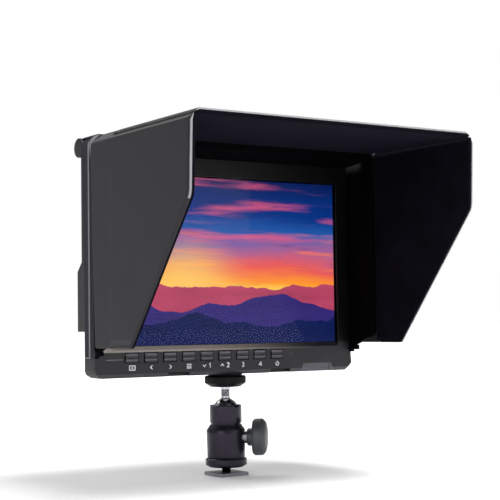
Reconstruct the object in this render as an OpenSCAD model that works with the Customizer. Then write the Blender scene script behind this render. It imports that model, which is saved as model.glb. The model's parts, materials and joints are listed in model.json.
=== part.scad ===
// Camera field monitor with a folding sun hood on a small ball head.
// Origin: centre of the shoe foot's underside. +Z up, the screen faces -Y, +X is to the
// right of someone who looks at the screen. Millimetres.

/* [Screen] */
// Width of the lit picture
screen_w = 150.8; // [144:0.1:156]
// Height of the lit picture
screen_h = 94.2; // [88:0.1:100]
// Hidden margin of the glass at the sides and the top
glass_margin = 4; // [3:0.1:5]
// Hidden margin of the glass below the picture
glass_foot = 2.2; // [1.6:0.1:2.4]
// Thickness of the front glass
glass_t = 1.1; // [0.8:0.1:1.4]
// Thickness of the liquid crystal panel
panel_t = 2; // [1.4:0.1:2.4]
// Thickness of the backlight
backlight_t = 2.7; // [2:0.1:3]
// Thickness of the steel tray's sheet
tray_t = 0.6; // [0.4:0.1:0.8]

/* [Case] */
// Width of the case beside the picture, each side
side_border = 10.7; // [10.2:0.1:13]
// Height of the case above the picture
top_border = 18.5; // [16:0.1:24]
// Height of the button strip below the picture
chin_h = 17.3; // [17:0.1:22]
// Depth of the case at its upper part
case_d = 15.8; // [14.5:0.1:20]
// How much thinner the button strip is than the upper part
chin_step = 3; // [1:0.1:4]
// How much the thick lower band stands out behind the upper part
band_step = 5; // [3:0.1:8]
// Height of the band's underside above the picture's lower edge
band_low = 8; // [5:0.5:12]
// Height of the band's top above the picture's lower edge
band_high = 46; // [42:0.5:47]
// Wall of the rear cover
wall = 1.8; // [1.4:0.1:2.2]
// Thickness of the front bezel
bezel_t = 1.8; // [1.6:0.1:2.2]
// Depth of the glass behind the bezel's front
glass_recess = 1.2; // [0.8:0.1:1.4]
// Radius of the case's corners
case_r = 5; // [3:0.1:6]
// Chamfer of the case's lower right corner
case_chamfer = 4.2; // [2:0.1:5]
// Height of the bright slope under the picture
slope_h = 2.7; // [1.5:0.1:3]
// Height of the sloped lower front edge
relief_h = 2.1; // [1:0.1:3]
// Height of the raised part of that slope, at the right
relief_rise = 4.8; // [3:0.1:6]
// Depth of the sloped lower front edge
relief_d = 1.2; // [0.6:0.1:1.3]

/* [Buttons] */
// Distance between neighbouring buttons
button_pitch = 11.94; // [11:0.02:12.4]
// Centre of the first button left of the screen's middle
button_first = 63.8; // [60:0.1:65]
// Width of a button
button_w = 7.5; // [6:0.1:8]
// Height of a button
button_h = 4.9; // [4:0.1:5.2]
// Depth of the buttons' centre line below the picture
button_drop = 6.5; // [6:0.1:7]
// Travel of a button
button_travel = 0.6; // [0.3:0.05:0.8]
// Depth of the pocket around each button
pocket_depth = 0.6; // [0.3:0.1:0.8]
// Radius of the status light
led_r = 1; // [0.8:0.1:1.5]
// Distance of the status light right of the screen's middle
led_x = 41.9; // [40:0.1:45]

/* [Connectors] */
// Width of the picture sockets' opening
socket_w = 13.9; // [12:0.1:14.5]
// Height of the picture sockets' opening
socket_h = 4.45; // [4.2:0.05:5]
// Radius of the power socket's bore
power_r = 3.1; // [2.6:0.1:3.4]
// Radius of the earphone socket's bore
phone_r = 1.8; // [1.3:0.1:2]

/* [Battery plate] */
// Width of the battery plate
plate_w = 39; // [36:0.5:44]
// Height of the battery plate
plate_h = 52; // [48:0.5:54]
// Thickness of the battery plate
plate_t = 4; // [3.6:0.1:5]
// Height of the hooks on the battery plate
hook_h = 2.8; // [2:0.1:4]
// Travel of the battery latch
latch_travel = 1.8; // [1:0.1:1.8]

/* [Hood frame] */
// How far the rim stands in front of the bezel
rim_depth = 24.2; // [18:0.1:34]
// Wall of the rim
rim_t = 2.2; // [1.6:0.1:2.6]
// How far the rim's inner face lies inside the case's side
rim_inset = 1.9; // [1.2:0.1:2.4]
// How far the rim's inner face lies below the case's top
rim_drop = 7.7; // [6.5:0.1:9]
// Rise of the rim's top wall towards its front
rim_rise = 2.3; // [0:0.1:2.6]
// Wall of the frame around the case
frame_wall = 2; // [1.6:0.1:2.6]
// Clearance between the frame and the case
frame_gap = 0.3; // [0.2:0.05:0.4]
// Depth of the frame's lower ends below the picture
frame_foot = 6.3; // [4:0.1:8]
// Radius of the rail that grips the case's upper rear edge
rail_r = 5.4; // [4.5:0.1:6]

/* [Hood flaps] */
// Length of the hood in front of the bezel
hood_depth = 107.4; // [90:0.5:115]
// Thickness of the leatherette cover
cover_t = 0.8; // [0.6:0.1:1]
// Thickness of the stiff board
board_t = 1.2; // [1:0.1:1.4]
// Thickness of the black lining
lining_t = 0.6; // [0.4:0.1:0.8]
// Width of the edge binding
trim_w = 1.2; // [0.8:0.1:2]
// Thickness of the fixed skirt around the rim
skirt_t = 1.7; // [1.2:0.1:2]
// Depth of the side flaps' lower edge below the picture
flap_foot = 0.7; // [0:0.1:2]
// Length of the side flaps' level lower edge in front of the hinge
flap_sole = 17.5; // [10:0.5:30]
// Height of the side flaps' knee above the picture's lower edge
knee_h = 72.1; // [60:0.5:80]
// Setback of the knee behind the hood's front
knee_back = 1.7; // [0:0.1:4]
// Radius of the hinge wires
pin_r = 0.6; // [0.5:0.05:0.7]
// Clearance of a hinge wire in its loops, on the radius
pin_gap = 0.05; // [0.03:0.01:0.08]
// Length of one loop on the frame
loop_w = 8; // [6:0.5:12]
// Clearance between the flaps and what they pass
flap_gap = 0.3; // [0.25:0.05:0.5]
// Width of the bevel along the hood's upper side edges
bevel_w = 4.7; // [3:0.1:5]
// Radius of the skirt's upper rear corner
skirt_corner = 8; // [5:0.5:10]

/* [Ball head] */
// Distance of the ball head's axis behind the bezel's front
ball_to_front = 6.8; // [6.6:0.1:8]
// Length of the shoe foot along the shoe
foot_l = 18; // [17:0.1:18.4]
// Width of the shoe foot across the shoe
foot_w = 18.6; // [18:0.1:18.7]
// Thickness of the shoe foot
foot_t = 2; // [1.8:0.05:2.1]
// Radius of the foot's threaded stud
stud_r = 2.7; // [2.2:0.1:3]
// Free height between the foot and the lock wheel
foot_space = 2.9; // [2:0.1:5]
// Radius of the lock wheel
wheel_r = 11.8; // [10:0.1:14]
// Thickness of the lock wheel
wheel_t = 4.9; // [4:0.1:7]
// Radius of the housing
housing_r = 11.15; // [11:0.05:13]
// Height of the housing
housing_h = 18.6; // [18:0.1:24]
// Radius of the collar
collar_r = 9.1; // [8.9:0.05:9.6]
// Height of the collar above the housing
collar_h = 11.2; // [10.8:0.1:13]
// Radius of the ball
ball_r = 7.5; // [7.2:0.05:7.6]
// Height of the collar's mouth above the ball's centre
mouth_h = 3.5; // [3:0.1:4]
// Clearance of the ball in its seat, on the radius
ball_gap = 0.06; // [0.04:0.01:0.08]
// Radius of the stem above the ball
stem_r = 2.6; // [2:0.1:3]
// Height of the stem's shoulder above the ball's centre
stem_h = 13.8; // [13:0.1:20]
// Radius of the camera thread
thread_r = 3.1; // [3:0.05:3.15]
// Clearance of the camera thread in its nuts, on the radius
thread_gap = 0.07; // [0.04:0.01:0.09]
// Length of the camera thread inside the monitor
thread_l = 6.4; // [5:0.1:7]
// Radius of the lock disc
disc_r = 11.9; // [10:0.1:14]
// Thickness of the lock disc
disc_t = 7.2; // [5:0.1:9]
// Radius of the clamp knob
knob_r = 10.4; // [8:0.1:11]
// Thickness of the clamp knob
knob_t = 8.5; // [6:0.1:10]
// Distance of the clamp knob's hub from the head's axis
knob_off = 12.4; // [12:0.1:16]
// Radius of the clamp screw
screw_r = 2; // [1.6:0.1:2.4]
// Heading of the clamp knob, turned from the right towards the viewer
knob_turn = 40; // [0:1:90]

/* [Hidden] */
$fn = 64;

// Small overshoot that makes cuts pass right through
eps = 0.5;
button_count = 9;

// Heights of the ball head, from the foot up
wheel_z = foot_t + foot_space;
wheel_gap = 0.4;
housing_z = wheel_z + wheel_t + wheel_gap;
collar_z = housing_z + housing_h;
collar_top = collar_z + collar_h;
ball_z = collar_top - mouth_h;
disc_z = ball_z + stem_h;
case_z = disc_z + disc_t;

// Places of the case
case_w = screen_w + 2 * side_border;
case_h = chin_h + screen_h + top_border;
half_w = case_w / 2;
lit_z = case_z + chin_h;
lit_top = lit_z + screen_h;
case_top = case_z + case_h;
front_y = -ball_to_front;
part_y = front_y + bezel_t;
rear_y = front_y + case_d;
chin_y = rear_y - chin_step;
band_y = rear_y + band_step;
band_z0 = lit_z + band_low;
band_z1 = lit_z + band_high;

// Stack behind the bezel
glass_y = front_y + glass_recess;
panel_y = glass_y + glass_t;
backlight_y = panel_y + panel_t;
tray_y = backlight_y + backlight_t;
glass_w = screen_w + 2 * glass_margin;
glass_z0 = lit_z - glass_foot;
glass_z1 = lit_top + glass_margin;
window_gap = 0.8;
fit_gap = 0.2;
board_sheet = 1.2;
standoff_h = 0.8;
main_y = tray_y + tray_t + standoff_h;
main_rear = main_y + board_sheet;

// Buttons and the board behind them
button_z = lit_z - button_drop;
button_gap = 0.2;
flange_t = 0.6;
flange_gap = 0.1;
flange_y = part_y + flange_gap;
switch_nib = 0.45;
switch_t = 2;
nib_y = flange_y + flange_t + button_travel + 0.05;
switch_y = nib_y + switch_nib;
strip_y = switch_y + switch_t;
strip_up = 3.5;
strip_down = 2.4;
strip_top = button_z + strip_up;
strip_low = button_z - strip_down;
strip_end_left = 13;
strip_end_right = 22;
strip_x0 = -button_first - strip_end_left;
strip_x1 = led_x + strip_end_right;
screw_in = 3;
strip_screw_xs = [strip_x0 + screw_in, strip_x1 - screw_in];

// Fasteners
small_screw_r = 0.8;
small_head_r = 1.7;
small_head_h = 1.4;
boss_r = 2.2;
boss_l = 7;
boss_x = half_w - 4.1;
boss_low_z = case_z + boss_r + wall + 3.4;
boss_mid_z = band_z1 + 4;
boss_high_z = case_top - 15;
insert_r = 4;
insert_floor = 1;
insert_h = thread_l + insert_floor;
insert_boss_r = insert_r + 0.9;

// Hood frame
rim_y = front_y - rim_depth;
rim_x = half_w - rim_inset;
rim_out = rim_x + rim_t;
rim_z = case_top - rim_drop;
carrier_x = rim_out + 1.1;
flap_t = cover_t + board_t + lining_t;
loop_r = flap_t / 2;
hood_x = carrier_x + skirt_t;
flap_x = hood_x - flap_t;
hinge_x = hood_x - loop_r;
hinge_y = rim_y - flap_gap - loop_r;
side_rear_y = hinge_y - loop_r - flap_gap;
top_hinge_y = hinge_y - 2 * loop_r - flap_gap;
top_rear_y = top_hinge_y - loop_r - flap_gap;
lip_t = 0.9;
skirt_z = rim_z + rim_rise + 4.4;
hood_z = skirt_z + skirt_t;
flap_under_z = hood_z - flap_t;
top_hinge_z = hood_z - loop_r;
side_top_z = flap_under_z - flap_gap;
hood_y = front_y - hood_depth;
web_t = 1.6;
web_y = front_y - web_t;
flange_front_y = front_y + 1.9;
wrap_t = frame_gap + frame_wall;
wrap_x = half_w + wrap_t;
neck_in = 0.9;
head_d = 4;
stub_l = 5;
rail_drop = 0.8;
skirt_back = 0.3;
skirt_lean = 3.8;
skirt_y = web_y - skirt_back;
rim_low_z = lit_z + 2;
rim_back_z = lit_z - 3.7;
foot_low_z = lit_z - frame_foot;
rim_corner_r = 5;
top_x = flap_x - flap_gap;

// Hinge loops: side hinges run up the rim, the top hinge runs across it
side_loop_z0 = rim_low_z + rim_corner_r + 4;
side_loop_z1 = side_top_z - 3;
top_loop_x = top_x - 4;

// Battery plate
plate_gap = 0.5;
plate_z0 = band_z1 + 2;
plate_face_y = rear_y + plate_t;
latch_w = 12;
latch_h = 5;
latch_z = plate_z0 + 6.5;
latch_flange = 0.8;
latch_gap = 0.2;

leather = [0.24, 0.235, 0.24];
velvet = [0.07, 0.065, 0.09];
edging = [0.62, 0.62, 0.64];
plastic = [0.16, 0.155, 0.175];
dark_metal = [0.2, 0.19, 0.22];
steel = [0.7, 0.7, 0.72];
board_green = [0.1, 0.3, 0.18];

// A flat XZ shape given thickness from y0 to y1
module along_y(y0, y1) {
    translate([0, y1, 0]) rotate([90, 0, 0]) linear_extrude(y1 - y0) children();
}

// A flat YZ shape given thickness from x0 to x1
module along_x(x0, x1) {
    translate([x0, 0, 0]) rotate([90, 0, 90]) linear_extrude(x1 - x0) children();
}

// A box between two corners
module span(a, b) {
    translate(a) cube(b - a);
}

// A rod along Y from y0 to y1
module rod_y(x, z, r, y0, y1) {
    translate([x, y1, z]) rotate([90, 0, 0]) cylinder(r = r, h = y1 - y0);
}

// Rectangle with round corners
module round_rect(x0, z0, x1, z1, r) {
    translate([x0 + r, z0]) square([x1 - x0 - 2 * r, z1 - z0]);
    translate([x0, z0 + r]) square([x1 - x0, z1 - z0 - 2 * r]);
    for (x = [x0 + r, x1 - r], z = [z0 + r, z1 - r])
        translate([x, z]) circle(r);
}

// Front outline of the case, grown by g
module case_outline(g = 0) {
    round_rect(-half_w - g, case_z - g, half_w + g, case_top + g, case_r + g);
}

// Case outline with the chamfered lower right corner
module cut_outline(g = 0) {
    difference() {
        case_outline(g);
        translate([half_w, case_z])
            polygon([[eps, -eps], [-case_chamfer - eps, -eps], [eps, case_chamfer + eps]]);
    }
}

// Both sides of the case
module both_sides() {
    children();
    mirror([1, 0, 0]) children();
}

// Keeps what lies at least d under the bevels along the hood's upper side edges
module under_bevel(d = 0) {
    side = 3 * bevel_w;
    difference() {
        children();
        both_sides()
            translate([hood_x + d, hood_y - eps, hood_z - bevel_w - (1 + sqrt(2)) * d])
                rotate([0, -45, 0]) cube([2 * side, hood_depth + 2 * eps, side]);
    }
}

// Centre of button number i, counted from the left
function button_x(i) = -button_first + (i - 1) * button_pitch;

// Slots at the lower front edge, in front of the speakers
slot_w = 14;
slot_x = 34.2;
module speaker_slots() {
    for (x = [-slot_x, slot_x])
        span([x - slot_w / 2, front_y - eps, case_z - eps],
            [x + slot_w / 2, part_y + 2.4, case_z + wall + 0.4]);
}

// Cut that leans back from the front, from height h down; outline starts at its upper edge
relief_x0 = 50.4;
relief_x1 = 70.6;
relief_side = 2.2;
module chin_slope(h, outline) {
    translate([0, front_y, case_z + h]) rotate([atan(relief_d / h), 0, 0])
        along_y(-relief_d - 1, 0) polygon(outline);
}

module front_bezel() color(plastic) {
    difference() {
        union() {
            along_y(front_y, part_y) cut_outline();
            both_sides()
                for (z = [boss_low_z, boss_mid_z, boss_high_z])
                    rod_y(boss_x, z, boss_r, part_y - 0.4, part_y + boss_l);
            for (x = strip_screw_xs)
                rod_y(x, button_z, 2, part_y - 0.4, strip_y);
        }
        // Window for the picture, with a bright slope along its foot
        span([-screen_w / 2 - window_gap, front_y - eps, lit_z - window_gap],
            [screen_w / 2 + window_gap, part_y + eps, lit_top + window_gap]);
        along_x(-screen_w / 2 - window_gap, screen_w / 2 + window_gap)
            polygon([[front_y - eps, lit_z - slope_h - eps], [glass_y, lit_z - window_gap],
                [glass_y, lit_z + 1], [front_y - eps, lit_z + 1]]);
        // Bed of the glass
        span([-glass_w / 2 - fit_gap, glass_y, glass_z0 - fit_gap],
            [glass_w / 2 + fit_gap, part_y + eps, glass_z1 + fit_gap]);
        // Openings and pockets of the buttons
        for (i = [1:button_count]) {
            span([button_x(i) - button_w / 2 - button_gap, front_y - eps,
                button_z - button_h / 2 - button_gap],
                [button_x(i) + button_w / 2 + button_gap, part_y + eps,
                button_z + button_h / 2 + button_gap]);
            span([button_x(i) - button_w / 2 - 0.9, front_y - eps, button_z - button_h / 2 - 0.3],
                [button_x(i) + button_w / 2 + 0.3, front_y + pocket_depth,
                button_z + button_h / 2 + 0.7]);
        }
        rod_y(led_x, button_z, led_r + 0.05, front_y - eps, part_y + eps);
        // Sloped lower front edge, higher in one place
        chin_slope(relief_h, [[-half_w - 1, 0], [half_w + 1, 0], [half_w + 1, -chin_h],
            [-half_w - 1, -chin_h]]);
        chin_slope(relief_rise, [[relief_x0 + relief_side, 0], [relief_x1 - relief_side, 0],
            [relief_x1 + relief_side, -2 * relief_rise], [relief_x0 - relief_side, -2 * relief_rise]]);
        // Screw holes
        both_sides()
            for (z = [boss_low_z, boss_mid_z, boss_high_z])
                rod_y(boss_x, z, small_screw_r + 0.05, part_y + 1, part_y + boss_l + eps);
        for (x = strip_screw_xs)
            rod_y(x, button_z, small_screw_r + 0.05, part_y + 0.6, strip_y + eps);
        speaker_slots();
    }
}

// Side profile of the rear cover, drawn in by w
module cover_profile(w) {
    f = part_y - (w > 0 ? eps : 0);
    k = w * 0.4;
    polygon([[f, case_z + w], [chin_y - w - 1.5 + k, case_z + w], [chin_y - w, case_z + w + 1.5 - k],
        [chin_y - w, band_z0 + w], [band_y - w, band_z0 + w],
        [band_y - w, band_z1 - band_step - w * 0.4], [rear_y - w, band_z1 - w * 0.4],
        [rear_y - w, case_top - w - 1 + k], [rear_y - w - 1 + k, case_top - w], [f, case_top - w]]);
}

vent_w = 1.4;
vent_h = 22;
vent_pitch = 5;
jack_z = (band_z0 + band_z1 - band_step) / 2;
in_x = -52;
out_x = -30;
phone_x = -10;
power_x = 8;

// Outer size of the picture sockets
shell_t = 0.5;
jack_side = 2 * power_r + 2.6;
phone_side = 2 * phone_r + 2.4;

module rear_cover() color(plastic) {
    difference() {
        union() {
            difference() {
                intersection() {
                    along_x(-half_w, half_w) cover_profile(0);
                    along_y(part_y, band_y + eps) cut_outline();
                }
                intersection() {
                    along_x(-half_w + wall, half_w - wall) cover_profile(wall);
                    along_y(part_y - eps, band_y + eps) round_rect(-half_w + wall, case_z + wall,
                        half_w - wall, case_top - wall, case_r);
                }
            }
            // Screw tubes that meet the bezel's bosses
            both_sides() {
                rod_y(boss_x, boss_low_z, boss_r, part_y + boss_l, chin_y - 0.4);
                for (z = [boss_mid_z, boss_high_z])
                    rod_y(boss_x, z, boss_r, part_y + boss_l, rear_y - 0.4);
            }
            // Boss of the camera thread
            translate([0, 0, case_z + 0.4]) cylinder(r = insert_boss_r, h = insert_h - 0.4);
        }
        translate([0, 0, case_z - eps]) cylinder(r = insert_r, h = insert_h + 2 * eps);
        both_sides() {
            rod_y(boss_x, boss_low_z, small_screw_r + 0.15, part_y + boss_l - 1, chin_y + eps);
            rod_y(boss_x, boss_low_z, small_head_r + 0.15, chin_y - small_head_h - 0.2, chin_y + eps);
            for (z = [boss_mid_z, boss_high_z]) {
                rod_y(boss_x, z, small_screw_r + 0.15, part_y + boss_l - 1, rear_y + eps);
                rod_y(boss_x, z, small_head_r + 0.15, rear_y - small_head_h - 0.2, rear_y + eps);
            }
            // Vents beside the battery plate
            for (i = [0:6])
                span([plate_w / 2 + 10 + i * vent_pitch, rear_y - wall - eps, plate_z0 + 14],
                    [plate_w / 2 + 10 + i * vent_pitch + vent_w, rear_y + eps,
                    plate_z0 + 14 + vent_h]);
        }
        // Openings of the sockets in the band
        for (x = [in_x, out_x])
            span([x - socket_w / 2 - shell_t - fit_gap, band_y - wall - eps,
                jack_z - socket_h / 2 - shell_t - fit_gap],
                [x + socket_w / 2 + shell_t + fit_gap, band_y + eps,
                jack_z + socket_h / 2 + shell_t + fit_gap]);
        span([power_x - jack_side / 2 - fit_gap, band_y - wall - eps, jack_z - jack_side / 2 - fit_gap],
            [power_x + jack_side / 2 + fit_gap, band_y + eps, jack_z + jack_side / 2 + fit_gap]);
        span([phone_x - phone_side / 2 - fit_gap, band_y - wall - eps,
            jack_z - phone_side / 2 - fit_gap],
            [phone_x + phone_side / 2 + fit_gap, band_y + eps, jack_z + phone_side / 2 + fit_gap]);
        // Holes of the battery contacts
        for (x = contact_xs)
            span([x - contact_t / 2 - fit_gap, rear_y - wall - eps, contact_z - fit_gap],
                [x + contact_t / 2 + fit_gap, rear_y + eps, contact_z + contact_h + fit_gap]);
        speaker_slots();
    }
}

module screen_glass() color([0.08, 0.08, 0.1]) {
    span([-glass_w / 2, glass_y, glass_z0], [glass_w / 2, panel_y, glass_z1]);
}

inner_gap = 0.3;
module lcd_panel() color([0.25, 0.3, 0.5]) {
    m = tray_t + inner_gap;
    span([-glass_w / 2 + m, panel_y, glass_z0 + m], [glass_w / 2 - m, backlight_y, glass_z1 - m]);
}

module backlight() color([0.9, 0.9, 0.88]) {
    m = tray_t + inner_gap;
    span([-glass_w / 2 + m, backlight_y, glass_z0 + m], [glass_w / 2 - m, tray_y, glass_z1 - m]);
}

// Places of the main board's standoffs
post_xs = [-56, 56];
post_zs = [band_z0 + 6, band_z1 + 24];
module lcd_tray() color(steel) {
    difference() {
        span([-glass_w / 2, panel_y, glass_z0], [glass_w / 2, tray_y + tray_t, glass_z1]);
        span([-glass_w / 2 + tray_t, panel_y - eps, glass_z0 + tray_t],
            [glass_w / 2 - tray_t, tray_y, glass_z1 - tray_t]);
    }
    for (x = post_xs, z = post_zs)
        difference() {
            rod_y(x, z, boss_r, tray_y + tray_t - 0.2, main_y);
            rod_y(x, z, small_screw_r + 0.05, tray_y + tray_t - 0.1, main_y + eps);
        }
}

module main_board() color(board_green) {
    difference() {
        span([post_xs[0] - 5, main_y, post_zs[0] - 4], [post_xs[1] + 5, main_rear, post_zs[1] + 4]);
        for (x = post_xs, z = post_zs)
            rod_y(x, z, small_screw_r + 0.15, main_y - eps, main_rear + eps);
    }
}

module button_board() color(board_green) {
    difference() {
        span([strip_x0, strip_y, strip_low], [strip_x1, strip_y + board_sheet, strip_top]);
        for (x = strip_screw_xs)
            rod_y(x, button_z, small_screw_r + 0.15, strip_y - eps, strip_y + board_sheet + eps);
    }
}

module tact_switches() color([0.3, 0.3, 0.32]) {
    for (i = [1:button_count]) {
        span([button_x(i) - 2.2, switch_y, button_z - 2.2], [button_x(i) + 2.2, strip_y, button_z + 2.2]);
        rod_y(button_x(i), button_z, 1.1, nib_y, switch_y + 0.1);
    }
}

// One button: cap, grip groove and the flange that keeps it in the bezel
groove_w = 0.5;
module button(i) color([0.2, 0.195, 0.215]) {
    x = button_x(i);
    difference() {
        union() {
            span([x - button_w / 2, front_y, button_z - button_h / 2],
                [x + button_w / 2, flange_y + 0.1, button_z + button_h / 2]);
            span([x - button_w / 2 - 0.7, flange_y, button_z - button_h / 2 - 0.6],
                [x + button_w / 2 + 0.7, flange_y + flange_t, button_z + button_h / 2 + 0.6]);
        }
        span([x - button_w / 2 + 1, front_y - eps, button_z - groove_w / 2],
            [x + button_w / 2 - 1, front_y + 0.25, button_z + groove_w / 2]);
    }
}

module status_light() color([0.35, 0.05, 0.05]) {
    rod_y(led_x, button_z, led_r, front_y + 0.1, strip_y);
}

speaker_w = 16;
speaker_h = 4.2;
speaker_y = part_y + 3;
speaker_gap = 1;
module speakers() color([0.12, 0.12, 0.12]) {
    for (x = [-slot_x, slot_x])
        span([x - speaker_w / 2, speaker_y, case_z + wall],
            [x + speaker_w / 2, chin_y - wall - speaker_gap, case_z + wall + speaker_h]);
}

module picture_socket(x) color(steel) {
    w = socket_w / 2 + shell_t;
    h = socket_h / 2 + shell_t;
    difference() {
        span([x - w, main_rear, jack_z - h], [x + w, band_y, jack_z + h]);
        span([x - socket_w / 2, main_rear + 1.6, jack_z - socket_h / 2],
            [x + socket_w / 2, band_y + eps, jack_z + socket_h / 2]);
    }
}

module power_socket() color([0.06, 0.06, 0.06]) {
    s = jack_side / 2;
    difference() {
        span([power_x - s, main_rear, jack_z - s], [power_x + s, band_y, jack_z + s]);
        rod_y(power_x, jack_z, power_r, main_rear + 1.2, band_y + eps);
    }
    rod_y(power_x, jack_z, 1, main_rear + 1, band_y - 1);
}

module phone_socket() color([0.06, 0.06, 0.06]) {
    s = phone_side / 2;
    difference() {
        span([phone_x - s, main_rear, jack_z - s], [phone_x + s, band_y, jack_z + s]);
        rod_y(phone_x, jack_z, phone_r, main_rear + 1.2, band_y + eps);
    }
}

module mount_insert() color([0.75, 0.6, 0.3]) {
    difference() {
        translate([0, 0, case_z]) cylinder(r = insert_r, h = insert_h);
        translate([0, 0, case_z - eps]) cylinder(r = thread_r + thread_gap, h = thread_l + 0.3 + eps);
    }
}

plate_screw_x = plate_w / 2 - 3;
hook_x = plate_w / 2 - 2;
module battery_plate() color([0.13, 0.13, 0.14]) {
    difference() {
        union() {
            along_y(rear_y, plate_face_y)
                round_rect(-plate_w / 2, plate_z0, plate_w / 2, plate_z0 + plate_h, 2);
            // Four hooks, each a foot with a lip that points inwards
            both_sides()
                for (z = [plate_z0 + 16, plate_z0 + 40]) {
                    span([hook_x - 1.6, plate_face_y - 0.2, z], [hook_x, plate_face_y + hook_h, z + 6]);
                    span([hook_x - 3, plate_face_y + hook_h - 1.1, z],
                        [hook_x, plate_face_y + hook_h, z + 6]);
                }
        }
        // Latch opening and the wider pocket behind it
        span([-latch_w / 2 - latch_gap, rear_y - eps, latch_z - latch_h / 2 - latch_gap],
            [latch_w / 2 + latch_gap, plate_face_y + eps, latch_z + latch_h / 2 + latch_gap]);
        span([-latch_w / 2 - 1.3, rear_y - eps, latch_z - latch_h / 2 - 1.3],
            [latch_w / 2 + 1.3, plate_face_y - 0.8, latch_z + latch_h / 2 + 1.3]);
        for (x = contact_xs)
            span([x - contact_t / 2 - fit_gap, rear_y - eps, contact_z - fit_gap],
                [x + contact_t / 2 + fit_gap, plate_face_y + eps, contact_z + contact_h + fit_gap]);
        for (x = [-plate_screw_x, plate_screw_x], z = [plate_z0 + 4, plate_z0 + plate_h - 4]) {
            rod_y(x, z, small_screw_r + 0.15, rear_y - eps, plate_face_y + eps);
            rod_y(x, z, small_head_r + 0.15, plate_face_y - small_head_h, plate_face_y + eps);
        }
    }
}

contact_xs = [-8, 0, 8];
contact_t = 0.8;
contact_h = 7;
contact_z = plate_z0 + 26;
module battery_contacts() color([0.85, 0.7, 0.35]) {
    for (x = contact_xs)
        span([x - contact_t / 2, rear_y - wall - 0.6, contact_z],
            [x + contact_t / 2, plate_face_y + hook_h - 0.6, contact_z + contact_h]);
}

latch_y = plate_face_y - 0.8 - latch_flange - 0.05;
module battery_latch() color([0.5, 0.1, 0.08]) {
    difference() {
        span([-latch_w / 2, latch_y, latch_z - latch_h / 2],
            [latch_w / 2, plate_face_y + latch_travel, latch_z + latch_h / 2]);
        for (i = [-2:2])
            span([i * 2 - 0.3, plate_face_y + latch_travel - 0.4, latch_z - latch_h / 2 - eps],
                [i * 2 + 0.3, plate_face_y + latch_travel + eps, latch_z + latch_h / 2 + eps]);
    }
    span([-latch_w / 2 - 1, latch_y, latch_z - latch_h / 2 - 1],
        [latch_w / 2 + 1, latch_y + latch_flange, latch_z + latch_h / 2 + 1]);
}

// Flat leaf spring between the rear cover and the latch
module latch_spring() color(steel) {
    top = latch_y - rear_y;
    translate([0, rear_y, latch_z]) linear_extrude(3, center = true)
        polygon([[-5, 0], [-3, 0], [0, top - 0.25], [3, 0], [5, 0], [5, 0.2], [3.2, 0.2],
            [0.3, top], [-0.3, top], [-3.2, 0.2], [-5, 0.2]]);
}

module case_screw(z, y) {
    both_sides() {
        rod_y(boss_x, z, small_screw_r, part_y + 1.4, y - small_head_h + 0.1);
        difference() {
            rod_y(boss_x, z, small_head_r, y - small_head_h - 0.1, y - 0.3);
            span([boss_x - 1.1, y - 0.8, z - 0.2], [boss_x + 1.1, y, z + 0.2]);
            span([boss_x - 0.2, y - 0.8, z - 1.1], [boss_x + 0.2, y, z + 1.1]);
        }
    }
}

module case_screws() color(steel) {
    case_screw(boss_low_z, chin_y);
    case_screw(boss_mid_z, rear_y);
    case_screw(boss_high_z, rear_y);
}

module board_screw(x, z, y0, y1) {
    rod_y(x, z, small_screw_r, y0, y1 + 0.1);
    rod_y(x, z, small_head_r, y1, y1 + 0.8);
}

module board_screws() color(steel) {
    for (x = post_xs, z = post_zs)
        board_screw(x, z, tray_y + tray_t, main_rear);
    for (x = strip_screw_xs)
        board_screw(x, button_z, part_y + 1, strip_y + board_sheet);
    for (x = [-plate_screw_x, plate_screw_x], z = [plate_z0 + 4, plate_z0 + plate_h - 4])
        board_screw(x, z, rear_y, plate_face_y - small_head_h + 0.05);
}

// Hinge loops along a wire: the frame has three, the flap fills the two spaces between
function loop_starts(a, b) = [a, (a + b - loop_w) / 2, b - loop_w];
function fill_spans(a, b) = [
    [a + loop_w + flap_gap, (a + b - loop_w) / 2 - flap_gap],
    [(a + b + loop_w) / 2 + flap_gap, b - loop_w - flap_gap]
];

// Side profile of the rim, from the case to its front edge
module rim_profile() {
    c = rim_corner_r;
    polygon([[rim_y, rim_low_z + c], [rim_y + c, rim_low_z], [web_y + 0.2, rim_back_z],
        [web_y + 0.2, rim_z], [rim_y, rim_z + rim_rise]]);
    translate([rim_y + c, rim_low_z + c]) circle(c);
}

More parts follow.
